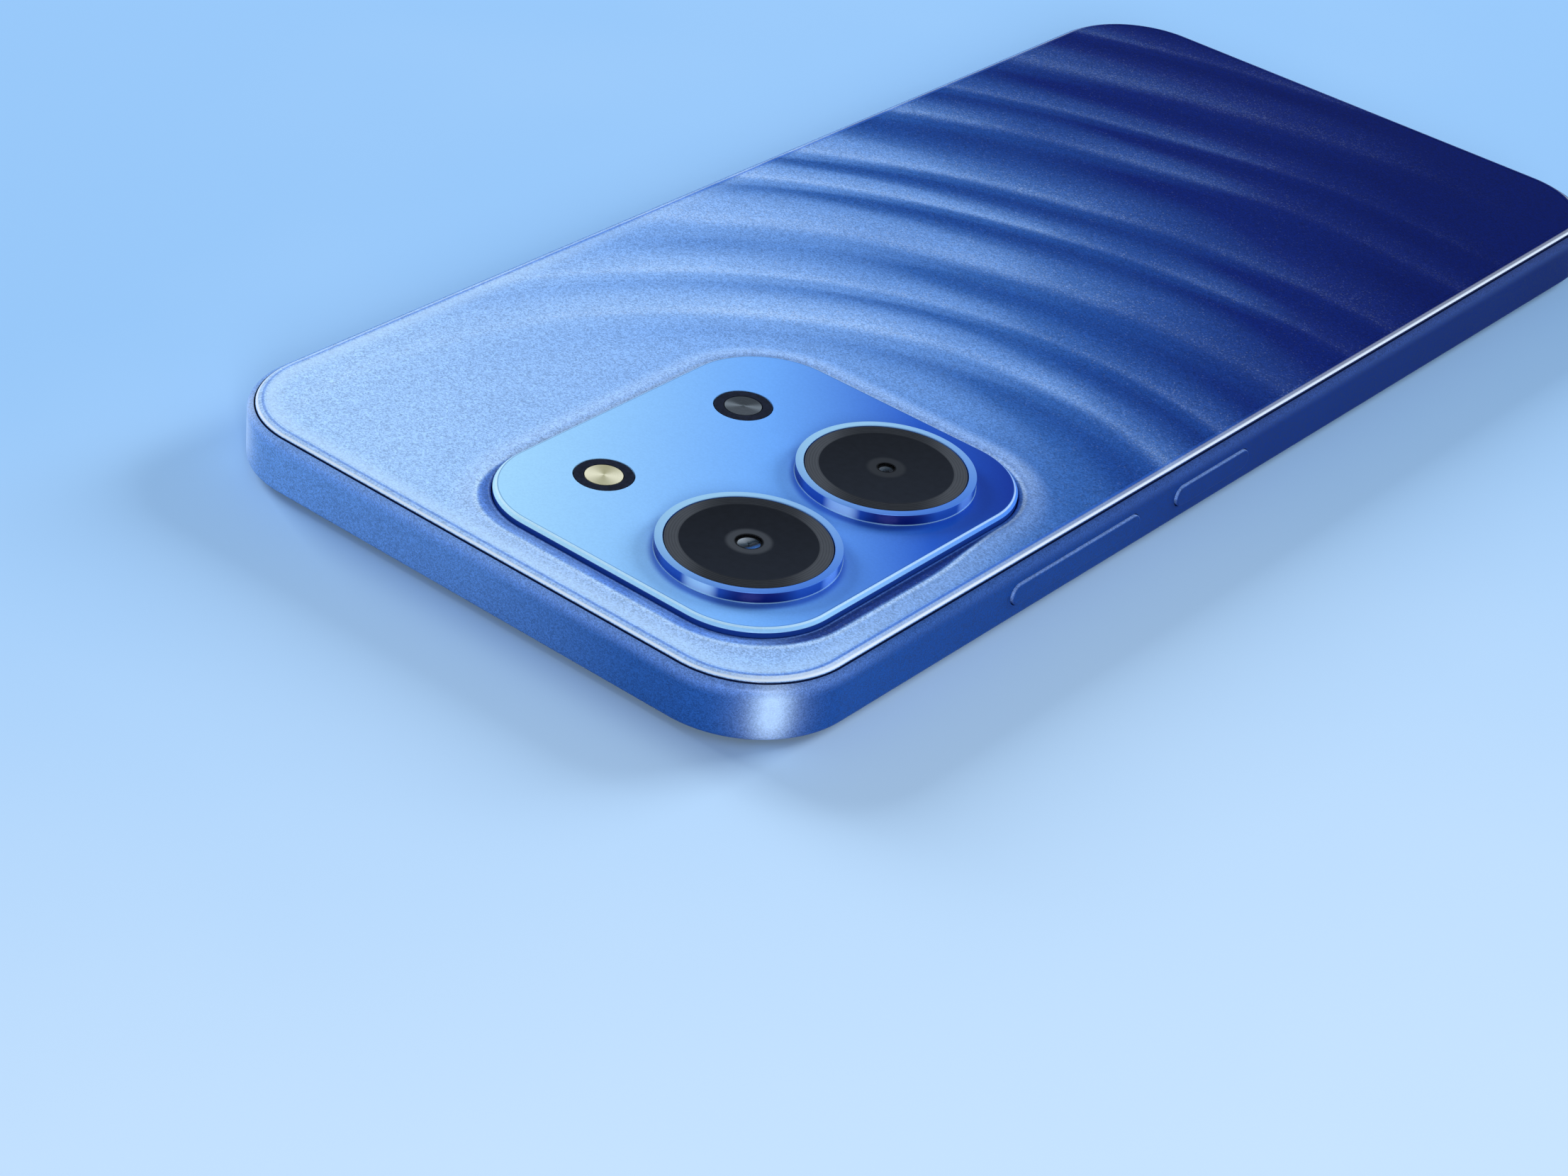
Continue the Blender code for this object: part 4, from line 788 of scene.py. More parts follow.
island = start_plate("island_plate", island_low, island_high, island_low.z, ISLAND_CORNER + ISLAND_FLANGE)
step_through([(0, ISLAND_FLANGE_THICKNESS), (ISLAND_FLANGE, 0),
              (0, chamfer_foot - island_low.z - ISLAND_FLANGE_THICKNESS)] + ISLAND_CHAMFER_STEPS)
close_outline()
pick_facing(DOWN)
step_through([(ISLAND_FLANGE + ISLAND_WALL, 0), (0, island_low.z - island_top + ISLAND_PLATE)])
object_mode(island)
ring_hole, lamp_hole = ring_radius - RING_RIM + SEAM, LAMP_RADIUS + SEAM
drills = []
for node, radius in ((RINGS["upper"], ring_hole), ("flash_bezel", lamp_hole),
                     (RINGS["lower"], ring_hole), ("sensor_bezel", lamp_hole)):
    drill_low, drill_high = island_top - ISLAND_PLATE - OVERCUT, island_top + OVERCUT
    drills.append(object_mode(start_disc("drill", middle_of(node), drill_low, drill_high, radius)))
combine_and_finish(island, drills, "DIFFERENCE")
print("island", len(island.data.polygons), "faces")

# %% [markdown]
# ## Turned rings
#
# The lens rings and the lamp surrounds are turned on a lathe. A lathe can be copied with Spin, but a
# cylinder whose ends are stepped in and down gives the same form with clean loops. Where a ring is
# open, both end faces are deleted and Bridge joins the two edges that are left.

# %% Lens rings
RING_LEDGE = 0.8 * MM
RING_SKIRT = 0.8 * MM
RING_LIP = 0.07 * MM
RING_CHAMFER = 0.12 * MM
RING_CHAMFER_STEPS = [(0.03 * MM, 0.07 * MM), (0.09 * MM, 0.05 * MM)]
RING_INNER_EDGE = 0.06 * MM
RING_FOOT_GAP = 0.02 * MM


def open_ring(name, place, low, high, radius, above, below, steps=ROUND_STEPS):
    """A ring: a short cylinder stepped through one section above and one below, then bored through."""
    piece = start_disc(name, place, low, high, radius, steps)
    for direction, section in ((UP, above), (DOWN, below)):
        pick_facing(direction)
        step_through(section)
        bpy.ops.mesh.delete(type="ONLY_FACE")
    pick("EDGE", lambda edge: edge.is_boundary)
    bpy.ops.mesh.bridge_edge_loops()
    return finish_shape(piece)


rings = {}
ring_foot = island_top + RING_FOOT_GAP
for label, node in RINGS.items():
    low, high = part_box(node)
    seat_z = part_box(f"lens_window_{label}")[0].z - BOND
    above = [(RING_LIP, 0), (0, high.z - ring_foot - RING_LIP - RING_CHAMFER), *RING_CHAMFER_STEPS,
             (RING_RIM - RING_LIP - RING_CHAMFER - RING_INNER_EDGE, 0), (RING_INNER_EDGE, -RING_INNER_EDGE),
             (0, seat_z - high.z + RING_INNER_EDGE), (RING_LEDGE, 0)]
    below = [(RING_RIM + RING_LEDGE - RING_SKIRT, 0), (0, ring_foot - low.z), (RING_SKIRT, 0)]
    rings[label] = open_ring(f"ring_{label}", middle_of(node), ring_foot, ring_foot + RING_LIP, ring_radius,
                             above, below)
print("rings", {label: len(ring.data.polygons) for label, ring in rings.items()})

# %% Lens windows
WINDOW_BEVEL = 0.1 * MM
WINDOW_BEVEL_STEPS = 3
WINDOW_RIM = 1.5 * MM
WINDOW_PANE = 0.16 * MM

windows = {}
for label in RINGS:
    node = f"lens_window_{label}"
    low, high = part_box(node)
    window = start_disc(f"window_{label}", middle_of(node), low.z, high.z - WINDOW_BEVEL, radius_of(node))
    pick_facing(UP)
    step_through(quarter_round(WINDOW_BEVEL, WINDOW_BEVEL, WINDOW_BEVEL_STEPS))
    pick_facing(DOWN)
    step_through([(WINDOW_RIM, 0), (0, low.z - high.z + WINDOW_PANE)])
    windows[label] = finish_shape(window)
print("windows", list(windows))

# %% [markdown]
# ## The lenses behind the windows
#
# Behind each black window stands a small black cone with a domed, coated lens at its foot. A ball cut
# off by the cone would do, but its rows of faces bunch up at the pole. Here the dome is stepped along a
# circle. Its glass is glossy, and the bright glints that it shows are painted reflections in its finish.

# %% Front lenses
EYES = {"upper": (1.2 * MM, 0.3 * MM), "lower": (0.75 * MM, 0.2 * MM)}
EYE_COLLAR = 3.0 * MM
EYE_COLLAR_THICKNESS = 0.2 * MM
EYE_TOP_GAP = 0.06 * MM
EYE_LIP = 0.12 * MM
EYE_CONE_DEPTH = 0.2 * MM
DOME_STEPS = 9
SMALL_ROUND_STEPS = 96


def dome(radius, height, steps):
    """Steps of a round cap of that radius and height, from its rim to near its top."""
    ball = (radius * radius + height * height) / (2 * height)
    widest = math.asin(radius / ball)
    turns = [widest * (1 - step / (steps + 1)) for step in range(steps + 1)]
    points = [(ball * math.sin(turn), ball * math.cos(turn)) for turn in turns]
    return [(before[0] - after[0], after[1] - before[1]) for before, after in zip(points, points[1:])]


eyes = {}
for label, (lens_radius, lens_height) in EYES.items():
    node = f"lens_element_{label}"
    collar_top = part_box(f"lens_window_{label}")[1].z - WINDOW_PANE - EYE_TOP_GAP
    eye = start_disc(f"eye_{label}", middle_of(node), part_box(node)[0].z, collar_top - EYE_COLLAR_THICKNESS,
                     radius_of(node), SMALL_ROUND_STEPS)
    pick_facing(UP)
    step_through([(radius_of(node) - EYE_COLLAR, 0), (0, EYE_COLLAR_THICKNESS), (EYE_LIP, 0),
                  (EYE_COLLAR - EYE_LIP - lens_radius, -EYE_CONE_DEPTH)]
                 + dome(lens_radius, lens_height, DOME_STEPS))
    eyes[label] = finish_shape(eye)
print("eyes", list(eyes))

# %% [markdown]
# ## Flash and sensor
#
# The flash and the sensor share one form: a black surround that is flush with the island, and inside it
# a small disc with turned rings that spread the light. The rings could be left to a bump, but they are
# deep enough to catch real light, so they are stepped into the disc. A light pipe underneath reaches
# down to the chip.

# %% Lamp surrounds and discs
LAMP_FLANGE = 0.8 * MM
LAMP_FLANGE_THICKNESS = 0.4 * MM
LAMP_BEZEL = 1.07 * MM
LAMP_LEDGE = 0.5 * MM
LAMP_DISC_THICKNESS = 0.9 * MM
LAMP_EDGE = 0.04 * MM
DISC_SINK = 0.03 * MM
DISC_RINGS = 7
DISC_RING_DEPTH = 0.02 * MM
DISC_RING_SLOPE = 0.2
LIGHT_PIPE = 1.3 * MM

surrounds = {}
discs = {}
for label in ("flash", "sensor"):
    place, (low, high) = middle_of(f"{label}_bezel"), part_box(f"{label}_bezel")
    ledge_z = high.z - LAMP_DISC_THICKNESS - BOND
    flange_top = low.z + LAMP_FLANGE_THICKNESS
    above = [(LAMP_FLANGE, 0), (0, high.z - flange_top - LAMP_EDGE), (LAMP_EDGE, LAMP_EDGE),
             (LAMP_BEZEL - 2 * LAMP_EDGE, 0), (LAMP_EDGE, -LAMP_EDGE), (0, ledge_z - high.z + LAMP_EDGE),
             (LAMP_LEDGE, 0)]
    below = [(LAMP_FLANGE + LAMP_BEZEL + LAMP_LEDGE, 0)]
    surrounds[label] = open_ring(f"{label}_surround", place, low.z, flange_top, LAMP_RADIUS + LAMP_FLANGE,
                                 above, below, SMALL_ROUND_STEPS)
    low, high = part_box(f"{label}_window")
    radius = radius_of(f"{label}_window")
    disc_foot = high.z - LAMP_DISC_THICKNESS
    disc = start_disc(f"{label}_disc", place, disc_foot, high.z - DISC_SINK, radius, SMALL_ROUND_STEPS)
    pick_facing(DOWN)
    step_through([(radius - LIGHT_PIPE, 0), (0, disc_foot - low.z)])
    pick("FACE", lambda face: face.normal.z > SAME_WAY and face.calc_center_median().z > disc_foot)
    ring_width = radius / (DISC_RINGS + 1)
    for _ in range(DISC_RINGS):
        step_through([(ring_width * DISC_RING_SLOPE, -DISC_RING_DEPTH),
                      (ring_width * (1 - DISC_RING_SLOPE), DISC_RING_DEPTH)])
    discs[label] = finish_shape(disc)
print("surrounds and discs", list(surrounds), [len(disc.data.polygons) for disc in discs.values()])

# %% [markdown]
# ## The keys and the card tray
#
# Each key is a bar with round ends. Its edge is eased where a finger meets it, and behind the wall it
# has long ears that keep it in and small nubs that press the switches. The tray is a bar of the same
# kind with a flat carrier behind it. Ears, nubs and carrier could be extruded from the bar's back, but
# joining simple blocks to it is shorter. The solids slide and rock on joints, so each of these pieces
# rides on its own body.

# %% Keys
KEY_PROUD = 0.35 * MM
KEY_EDGE = 0.22 * MM
KEY_EDGE_STEPS = 5
EAR_THICKNESS = 0.5 * MM
NUB_RADIUS = 0.6 * MM
NUB_LENGTH = 0.5 * MM
NUB_OFFSETS = {"volume_key": (-7.0 * MM, 7.0 * MM), "power_key": (0.0,)}
TINY_ROUND_STEPS = 24

keys = {}
key_face = frame_low.x - KEY_PROUD
ear_front = frame_low.x + EAR_DEPTH
ear_back = ear_front + EAR_THICKNESS
for node, offsets in NUB_OFFSETS.items():
    middle, length = key_place(node)
    low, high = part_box(node)
    corners = across_wall(key_face + KEY_EDGE, ear_front + BOND, middle, length / 2, KEY_HEIGHT / 2)
    key = start_bar(node + "_bar", *corners, X)
    pick_facing((-1, 0, 0))
    step_through(quarter_round(KEY_EDGE, KEY_EDGE, KEY_EDGE_STEPS))
    object_mode(key)
    backs = [object_mode(start_block("ears", (ear_front, low.y, low.z), (ear_back, high.y, high.z)))]
    for offset in offsets:
        nub_place = (0, middle.y + offset, (low.z + high.z) / 2)
        nub = start_disc("nub", nub_place, ear_front + BOND, ear_back + NUB_LENGTH, NUB_RADIUS,
                         TINY_ROUND_STEPS, X)
        backs.append(object_mode(nub))
    keys[node] = combine_and_finish(key, backs, "UNION")
print("keys", {name: len(key.data.polygons) for name, key in keys.items()})

# %% Card tray
CARDS = [(15.1 * MM, 11.1 * MM), (8.9 * MM, 12.4 * MM), (8.9 * MM, 12.4 * MM)]
TRAY_RIB = 1.2 * MM
CARD_RECESS = 0.8 * MM
CARD_LEDGE = 0.9 * MM
CARD_CORNER = 0.8 * MM
CARD_CORNER_STEPS = 5
EJECT_HOLE = 0.4 * MM
TRAY_EDGE = 0.12 * MM

head_back = tray_high.x - TRAY_HEAD_DEPTH
head_box = across_wall(head_back, tray_high.x - TRAY_EDGE, tray_middle, TRAY_HEAD_LENGTH / 2,
                       TRAY_HEAD_HEIGHT / 2)
tray = start_bar("card_tray", *head_box, X)
pick_facing((1, 0, 0))
step_through(quarter_round(TRAY_EDGE, TRAY_EDGE, EDGE_STEPS))
object_mode(tray)
carrier_box = across_wall(tray_low.x, head_back + BOND, tray_middle, TRAY_WIDTH / 2, TRAY_THICKNESS / 2)
combine(tray, [object_mode(start_block("carrier", *carrier_box))], "UNION")
carrier_foot, carrier_top = carrier_box[0][Z], carrier_box[1][Z]
card_cuts = []
card_end = head_back - TRAY_RIB
for card_length, card_width in CARDS:
    for inset, cut_foot in ((0.0, carrier_top - CARD_RECESS), (CARD_LEDGE, carrier_foot - OVERCUT)):
        half_y = card_width / 2 - inset
        cut = start_block("card", (card_end - card_length + inset, tray_middle.y - half_y, cut_foot),
                          (card_end - inset, tray_middle.y + half_y, carrier_top + OVERCUT))
        round_along(Z, CARD_CORNER, CARD_CORNER_STEPS)
        card_cuts.append(object_mode(cut))
    card_end -= card_length + TRAY_RIB
eject_place = (0, tray_middle.y + (TRAY_HEAD_LENGTH - TRAY_HEAD_HEIGHT) / 2, tray_middle.z)
eject = start_disc("eject", eject_place, head_back - OVERCUT, tray_high.x + OVERCUT, EJECT_HOLE,
                   TINY_ROUND_STEPS, X)
card_cuts.append(object_mode(eject))
combine_and_finish(tray, card_cuts, "DIFFERENCE")
print("tray", len(tray.data.polygons), "faces")

# %% [markdown]
# ## The sockets and the screen
#
# The charging socket is a drawn steel shell with a rolled lip and a tongue inside. The audio socket is
# a bored block. The screen glass is a plate with a round edge and a notch for the earpiece. All of them
# could be left as the solids are, but the lip and the glass edge catch the light, so they are rounded
# in small steps.

# %% Sockets
USB_SHELL = 0.3 * MM
USB_LIP = 0.1 * MM
JACK_WALL = 0.2 * MM
JACK_STEPS = 48
TONGUE_EDGE = 0.12 * MM

usb = start_bar("usb_shell", (usb_low.x, usb_low.y + USB_LIP, usb_low.z), usb_high, Y)
pick_facing((0, -1, 0))
step_through(quarter_round(USB_LIP, USB_LIP, EDGE_STEPS) + [(USB_SHELL - 2 * USB_LIP, 0)]
             + turn_down(USB_LIP, EDGE_STEPS) + [(0, USB_LIP + usb_low.y - usb_high.y + USB_SHELL)])
finish_shape(usb)

tongue_low, tongue_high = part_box("usb_tongue")
tongue = start_block("usb_contact_tongue", tongue_low, tongue_high)
round_along(Y, TONGUE_EDGE, EDGE_STEPS)
finish_shape(tongue)

jack = object_mode(start_block("audio_socket", jack_low, jack_high))
bore = object_mode(start_disc("bore", (jack_x, 0, socket_z), jack_low.y - OVERCUT, jack_high.y - JACK_WALL,
                              JACK_BORE, JACK_STEPS, Y))
combine_and_finish(jack, [bore], "DIFFERENCE")
print("sockets", [len(piece.data.polygons) for piece in (usb, tongue, jack)], "faces")

# %% Screen glass
GLASS_EDGE = 0.4 * MM
GLASS_EDGE_STEPS = 5
EARPIECE_SLOT = 0.6 * MM
EARPIECE_LENGTH = 12.0 * MM

screen = start_plate("screen_glass", glass_low, glass_high, glass_low.z + GLASS_EDGE,
                     CORNER_RADIUS - GLASS_RIM - SEAM)
step_through([(0, glass_high.z - glass_low.z - GLASS_EDGE)])
close_outline()
pick_facing(DOWN)
step_through(quarter_round(GLASS_EDGE, GLASS_EDGE, GLASS_EDGE_STEPS))
object_mode(screen)
notch_low = (-EARPIECE_LENGTH / 2, glass_high.y - EARPIECE_SLOT, glass_low.z - OVERCUT)
notch_high = (EARPIECE_LENGTH / 2, glass_high.y + OVERCUT, glass_high.z + OVERCUT)
combine_and_finish(screen, [object_mode(start_block("notch", notch_low, notch_high))], "DIFFERENCE")
print("screen", len(screen.data.polygons), "faces")

# %% [markdown]
# ## Satin pearl on the frame, the keys and the tray
#
# The frame is sprayed with a pearl paint: fine flakes in a blue coat. It goes from a clear mid blue on
# the tray side and the top end to navy on the key side and the bottom end, partly the paint's own
# gradient and partly painted shade. Its shoulder carries a painted highlight, strongest at the top end,
# a painted highlight flares where a round corner faces a lamp, and on the keys the eased edge has a
# painted highlight above and painted shade below. The flakes could be modelled in a bump alone, but
# then they vanish in soft light, so each one also gets its own brightness and gloss.

# %% Satin pearl
FLAKE = 0.12 * MM
ORANGE_PEEL = 0.16 * MM
PEARL_AND_SHADE_TONES = ((0.0, srgb(0, 22, 94)), (0.18, srgb(4, 43, 117)), (0.33, srgb(24, 75, 150)),
         (0.49, srgb(43, 93, 165)), (0.69, srgb(90, 135, 199)), (1.0, srgb(120, 167, 226)))
PEARL_CLOUD = 18 * MM
PEARL_SHOULDER_HIGHLIGHT = srgb(140, 178, 248)
SHOULDER_HIGHLIGHT_RISE = (5.3 * MM, 7.0 * MM)
TOP_END_HIGHLIGHT = (0.86, 1.0)
PEARL_FLARE = srgb(200, 224, 255)
KEY_FLARE_AIM = (0.77, 0.64, 0.0)
TRAY_FLARE_AIM = (0.65, 0.76, 0.0)
FLARE_CORE = 85.0
FLARE_SPREAD = 26.0
FLARE_RISE = (0.3 * MM, 3.4 * MM)
FLARE_FALL = (5.4 * MM, 7.0 * MM)
SEAM_BLACK = srgb(12, 24, 62)
RIM_SHADE = 0.03 * MM
KEY_GLEAM = srgb(140, 178, 244)
KEY_SHADE = srgb(20, 44, 108)


def corner_flare(paint, height):
    """Painted highlight where the round corners face a lamp: a narrow core on the key side, a broad patch on
    the tray side.
    """
    straight = (frame_high.x - CORNER_RADIUS, frame_high.y - CORNER_RADIUS, 0)
    beyond = paint.vector("SUBTRACT", paint.vector("ABSOLUTE", paint.place), straight)
    corner_out = paint.vector("NORMALIZE", paint.vector("MULTIPLY", beyond, LEVEL))
    tray_side = paint.axis("X").ease(-MM, MM)
    aim = paint.mix(tray_side, KEY_FLARE_AIM, TRAY_FLARE_AIM)
    facing = paint.vector("DOT_PRODUCT", corner_out, aim, out="Value").largest(0.0)
    core = facing ** (FLARE_CORE - tray_side * (FLARE_CORE - FLARE_SPREAD))
    flare = core * 0.72 + facing ** FLARE_SPREAD * 0.28
    return flare * (0.5 + height.ease(*FLARE_RISE) * 0.5) * (1 - height.ease(*FLARE_FALL) * 0.5)


def satin_pearl(name, key_z=None):
    """Blue pearl paint. On a key, whose middle is at key_z, the eased edge has a painted highlight above and
    painted shade below.
    """
    paint = Finish(name, metallic=0.12, Specular_IOR_Level=0.16)
    lengthways = (paint.axis("Y") - frame_low.y) / (frame_high.y - frame_low.y)
    sideways = (paint.axis("X") - frame_low.x) / (frame_high.x - frame_low.x)
    height = paint.axis("Z")
    # The blue across and along the frame is partly the paint's own gradient and partly painted shade: paler
    # on the tray side and the top end, darker on the key side and the bottom end.
    shade = sideways * 0.65 + lengthways * 0.36 + (paint.noise(PEARL_CLOUD) - 0.5) * 0.06
    # Painted highlight on the shoulder, paler up the wall and strongest at the top end.
    shoulder_highlight = height.ease(*SHOULDER_HIGHLIGHT_RISE) * (0.12 + lengthways.ease(*TOP_END_HIGHLIGHT) * 0.34)
    flare = corner_flare(paint, height)
    flakes = paint.cells(FLAKE)
    coat = paint.mix(shoulder_highlight, paint.ramp(shade, *PEARL_AND_SHADE_TONES), PEARL_SHOULDER_HIGHLIGHT)
    coat = paint.mix(flare, coat, PEARL_FLARE)
    if key_z is not None:
        # Painted highlight on the upper half of a key's eased edge, painted shade on the lower half.
        eased = paint.axis("X").ease(key_face, key_face + KEY_EDGE)
        upper = height.ease(key_z - KEY_HEIGHT * 0.4, key_z + KEY_HEIGHT * 0.1)
        coat = paint.mix(eased * 0.8, coat, paint.mix(upper, KEY_SHADE, KEY_GLEAM))
    coat = paint.brighten(coat, 1 + (flakes - 0.5) * (0.6 - flare * 0.4))
    outline = paint.outline_distance((0, 0), frame_high, CORNER_RADIUS)
    bare = 1 - outline.ease(RIM_SHADE / 2 - COVER_RIM, RIM_SHADE - COVER_RIM)
    paint.set(Base_Color=paint.mix(bare, coat, SEAM_BLACK), Roughness=0.42 + flakes * 0.16)
    paint.bump(paint.noise(ORANGE_PEEL, 3.0), 0.004 * MM, 0.6)
    return paint


pearl = satin_pearl("satin_pearl")
key_pearl = satin_pearl("satin_pearl_key", key_place("volume_key")[0].z)
seat(shell, pearl, "frame_blue", "mid_frame")
for node, key in keys.items():
    seat(key, key_pearl, "frame_blue", node, body=node)
seat(tray, pearl, "frame_blue", "sim_tray", body="sim_tray")

# %% [markdown]
# ## The frosted, rippled cover
#
# The cover is clear on top and printed underneath: a blue that sinks from pale to navy, with soft
# ripples that spread round the upper lens as rings spread on water, and a frost with a fine sparkle
# over it all. The blue is partly the print's own gradient and partly painted sheen, and the key side is
# painted a little darker as shade. Only its round edge is polished. A picture could hold the print, but
# a formula stays sharp at any size: the distance from the lens counts the rings, and what is left after
# the whole ones are taken away says how far up or down the ripple is. Slow noise bends the rings and
# lets them fade, so that they aren't perfect.

# %% Cover finish: the rings
RIPPLE_START = (36 * MM, 54 * MM)
RIPPLE_SPACING = 12.5 * MM
RIPPLE_DRIFT = 31.0 * MM
RIPPLE_WANDER = 5.0 * MM
WANDER_LENGTH = 52 * MM
ISLAND_CALM = (3 * MM, 9 * MM)
TOP_CALM = (62 / 3 * MM, 62 * MM)
PATCH_LENGTH = 26 * MM
PATCH_EDGES = (0.3, 0.7)
CREST = (0.0, 0.22, 0.18, 0.8)
CREST_LINE = (0.08, 0.18, 0.18, 0.32)
TROUGH = (0.45, 0.86, 0.84, 1.0)

cover_middle = middle_of("rear_cover")
cover_half = (cover_high - cover_low) / 2
frost = Finish("frosted_ripples", Specular_IOR_Level=0.06, Coat_Roughness=0.12)
cover_x, cover_y = frost.axis("X"), frost.axis("Y")
from_island = frost.outline_distance(island_middle, island_half, ISLAND_CORNER)
from_lens = frost.distance_from(middle_of(RINGS["upper"])) + frost.sway(WANDER_LENGTH, RIPPLE_WANDER)
ripple = (from_lens / RIPPLE_SPACING + from_lens.wave(RIPPLE_DRIFT) * 0.16).fraction()
swell = from_lens.ease(*RIPPLE_START) * from_island.ease(*ISLAND_CALM)
swell = swell * (1 - cover_y.ease(*TOP_CALM) * 0.8)
swell = swell * (0.35 + frost.noise(PATCH_LENGTH, 1.0).ease(*PATCH_EDGES) * 0.65)
crest = ripple.band(*CREST) * swell
crest_line = ripple.band(*CREST_LINE) * swell
trough = ripple.band(*TROUGH) * swell
print("rings", RIPPLE_SPACING / MM, "mm apart")

# %% Cover finish: the blue
PRINT_AND_SHEEN = ((0.10, srgb(5, 22, 90)), (0.26, srgb(10, 32, 106)), (0.42, srgb(32, 74, 148)),
         (0.48, srgb(50, 96, 168)), (0.54, srgb(92, 138, 206)), (0.68, srgb(128, 172, 233)),
         (0.91, srgb(166, 204, 250)))
PRINT_SLOPE = (4.0, 7.5, 0.0)
PRINT_DEEPEST = -1.45
PRINT_RANGE = 1.65
PRINT_CLOUD = 40 * MM
NEAR_END = (56 * MM, 84 * MM)
KEY_SIDE_SHADE = (-44 * MM, -4 * MM)
CREST_PALE = srgb(196, 222, 254)

near_end = cover_y.ease(*NEAR_END)
# The blue is partly the print's own gradient and partly painted sheen: paler towards the top end and the
# tray side. The key side is painted a little darker as shade, and a little paler near the top end.
depth = frost.along((0, cover_high.y, 0), PRINT_SLOPE) + frost.sway(PRINT_CLOUD, 0.1)
depth = depth - (1 - cover_x.ease(*KEY_SIDE_SHADE)) * (0.12 - near_end * 0.14)
pale = (depth - PRINT_DEEPEST) / PRINT_RANGE
print_and_sheen_blue = frost.ramp(pale + crest * 0.09 - trough * 0.07, *PRINT_AND_SHEEN)
rippled = frost.mix((crest * 0.34 + crest_line * 0.24) * pale * pale, print_and_sheen_blue, CREST_PALE)
print("print in", len(PRINT_AND_SHEEN), "blues")

# %% [markdown]
# ## The bead, the frost and the edge of the cover
#
# Round the island the bead shows as a dark dip, a pale ridge and a soft halo, and the phone's edge as a
# white line, a blue groove and a glow beside it. On the real cover light alone draws these lines. It
# could do so here too, but soft light makes them faint, so the finish paints them: painted shade in the
# dip, at the lip and by the groove, and painted highlights on the ridge, the halo, the white line and
# the glow. It measures how far a point lies from the island's outline or from the cover's own, and
# tints it in bands.

# %% Cover finish: the bead
NEAR_CORNER_AIM = (-0.55, 0.83, 0.0)
NEAR_SIDE = (0.0, 13 * MM)
DIP_RISE = (0.3 * MM, 0.5 * MM)
DIP_FALL = (-0.35 * MM, 0.1 * MM)
DIP_PATCH = 9 * MM
DIP_PATCH_EDGES = (0.35, 0.65)
RIDGE = (-0.1 * MM, 0.1 * MM, 0.2 * MM, 0.6 * MM)
HALO = (0.0, 0.7 * MM, 0.8 * MM, 3.6 * MM)
LIP_LINE = (0.26 * MM, 0.46 * MM)
DIP_SIDE_SHADE = srgb(12, 40, 122)
DIP_TOP_SHADE = srgb(62, 114, 212)
HALO_HIGHLIGHT = srgb(184, 213, 253)
RIDGE_HIGHLIGHT = srgb(190, 220, 255)
LIP_SHADE_BLUE = srgb(30, 70, 160)

island_key_edge = island_middle.x - island_half.x
key_side = 1 - cover_x.ease(island_key_edge - MM, island_key_edge + 5 * MM)
near_side = frost.along(island_middle, NEAR_CORNER_AIM).ease(*NEAR_SIDE)
past_dip = from_island - (near_side * 1.4 + 0.6) * MM
dip = from_island.ease(*DIP_RISE) * (1 - past_dip.ease(*DIP_FALL))
dip_patch = 0.56 + frost.noise(DIP_PATCH, 1.0).ease(*DIP_PATCH_EDGES) * 0.24
# Painted shade in the dip, painted highlights on the halo and the ridge, and a line of painted shade at the
# lip by the island's foot.
dip_shade_blue = frost.mix(key_side, DIP_TOP_SHADE, DIP_SIDE_SHADE)
beaded = frost.mix(past_dip.band(*HALO) * (0.36 - key_side * 0.16), rippled, HALO_HIGHLIGHT)
beaded = frost.mix(dip * dip_patch.largest(key_side * 0.92), beaded, dip_shade_blue)
beaded = frost.mix(past_dip.band(*RIDGE) * 0.62, beaded, RIDGE_HIGHLIGHT)
beaded = frost.mix((1 - from_island.ease(*LIP_LINE)) * 0.9, beaded, LIP_SHADE_BLUE)
print("bead from", LIP_LINE[0] / MM, "to", HALO[-1] / MM, "mm outside the island")

# %% Cover finish: the frost
GRAIN = 0.16 * MM
GLITTER = srgb(206, 226, 254)
GLITTER_RISE = (0.94, 1.08)

grain = frost.cells(GRAIN) * 0.75 + frost.cells(GRAIN * 1.8) * 0.25
glitter = (frost.cells(GRAIN * 0.9) + crest * 0.12 + crest_line * 0.1).ease(*GLITTER_RISE)
frosted = frost.brighten(beaded, 0.66 + grain * 0.66)
frosted = frost.mix(glitter * pale * (0.25 + pale * 0.4), frosted, GLITTER)
print("frost of", GRAIN / MM, "mm")

# %% Cover finish: the edge
EDGE_KEY_SIDE = (2 * MM, 9 * MM)
WHITE_RISE = (0.05, 0.11)
WHITE_DIM = (0.2, 0.36)
WHITE_FALL = (0.5, 0.68)
GROOVE = (0.56, 0.70, 0.78, 0.98)
GLOW = (0.9, 1.1, 1.1, 3.6)
EDGE_SIDE = (0.02, 0.05)
EDGE_FOOT = (-0.02 * MM, 0.06 * MM)
FIELD = (0.5, 0.7)
GROOVE_SHADE_BLUE = srgb(52, 104, 206)
GLOW_HIGHLIGHT = srgb(196, 226, 255)
EDGE_HIGHLIGHT_WHITE = srgb(230, 242, 255)
FROST_PEEL = 0.3 * MM

inward = (0.0 - frost.outline_distance(cover_middle, cover_half, cover_corner)) / COVER_EDGE_BAND
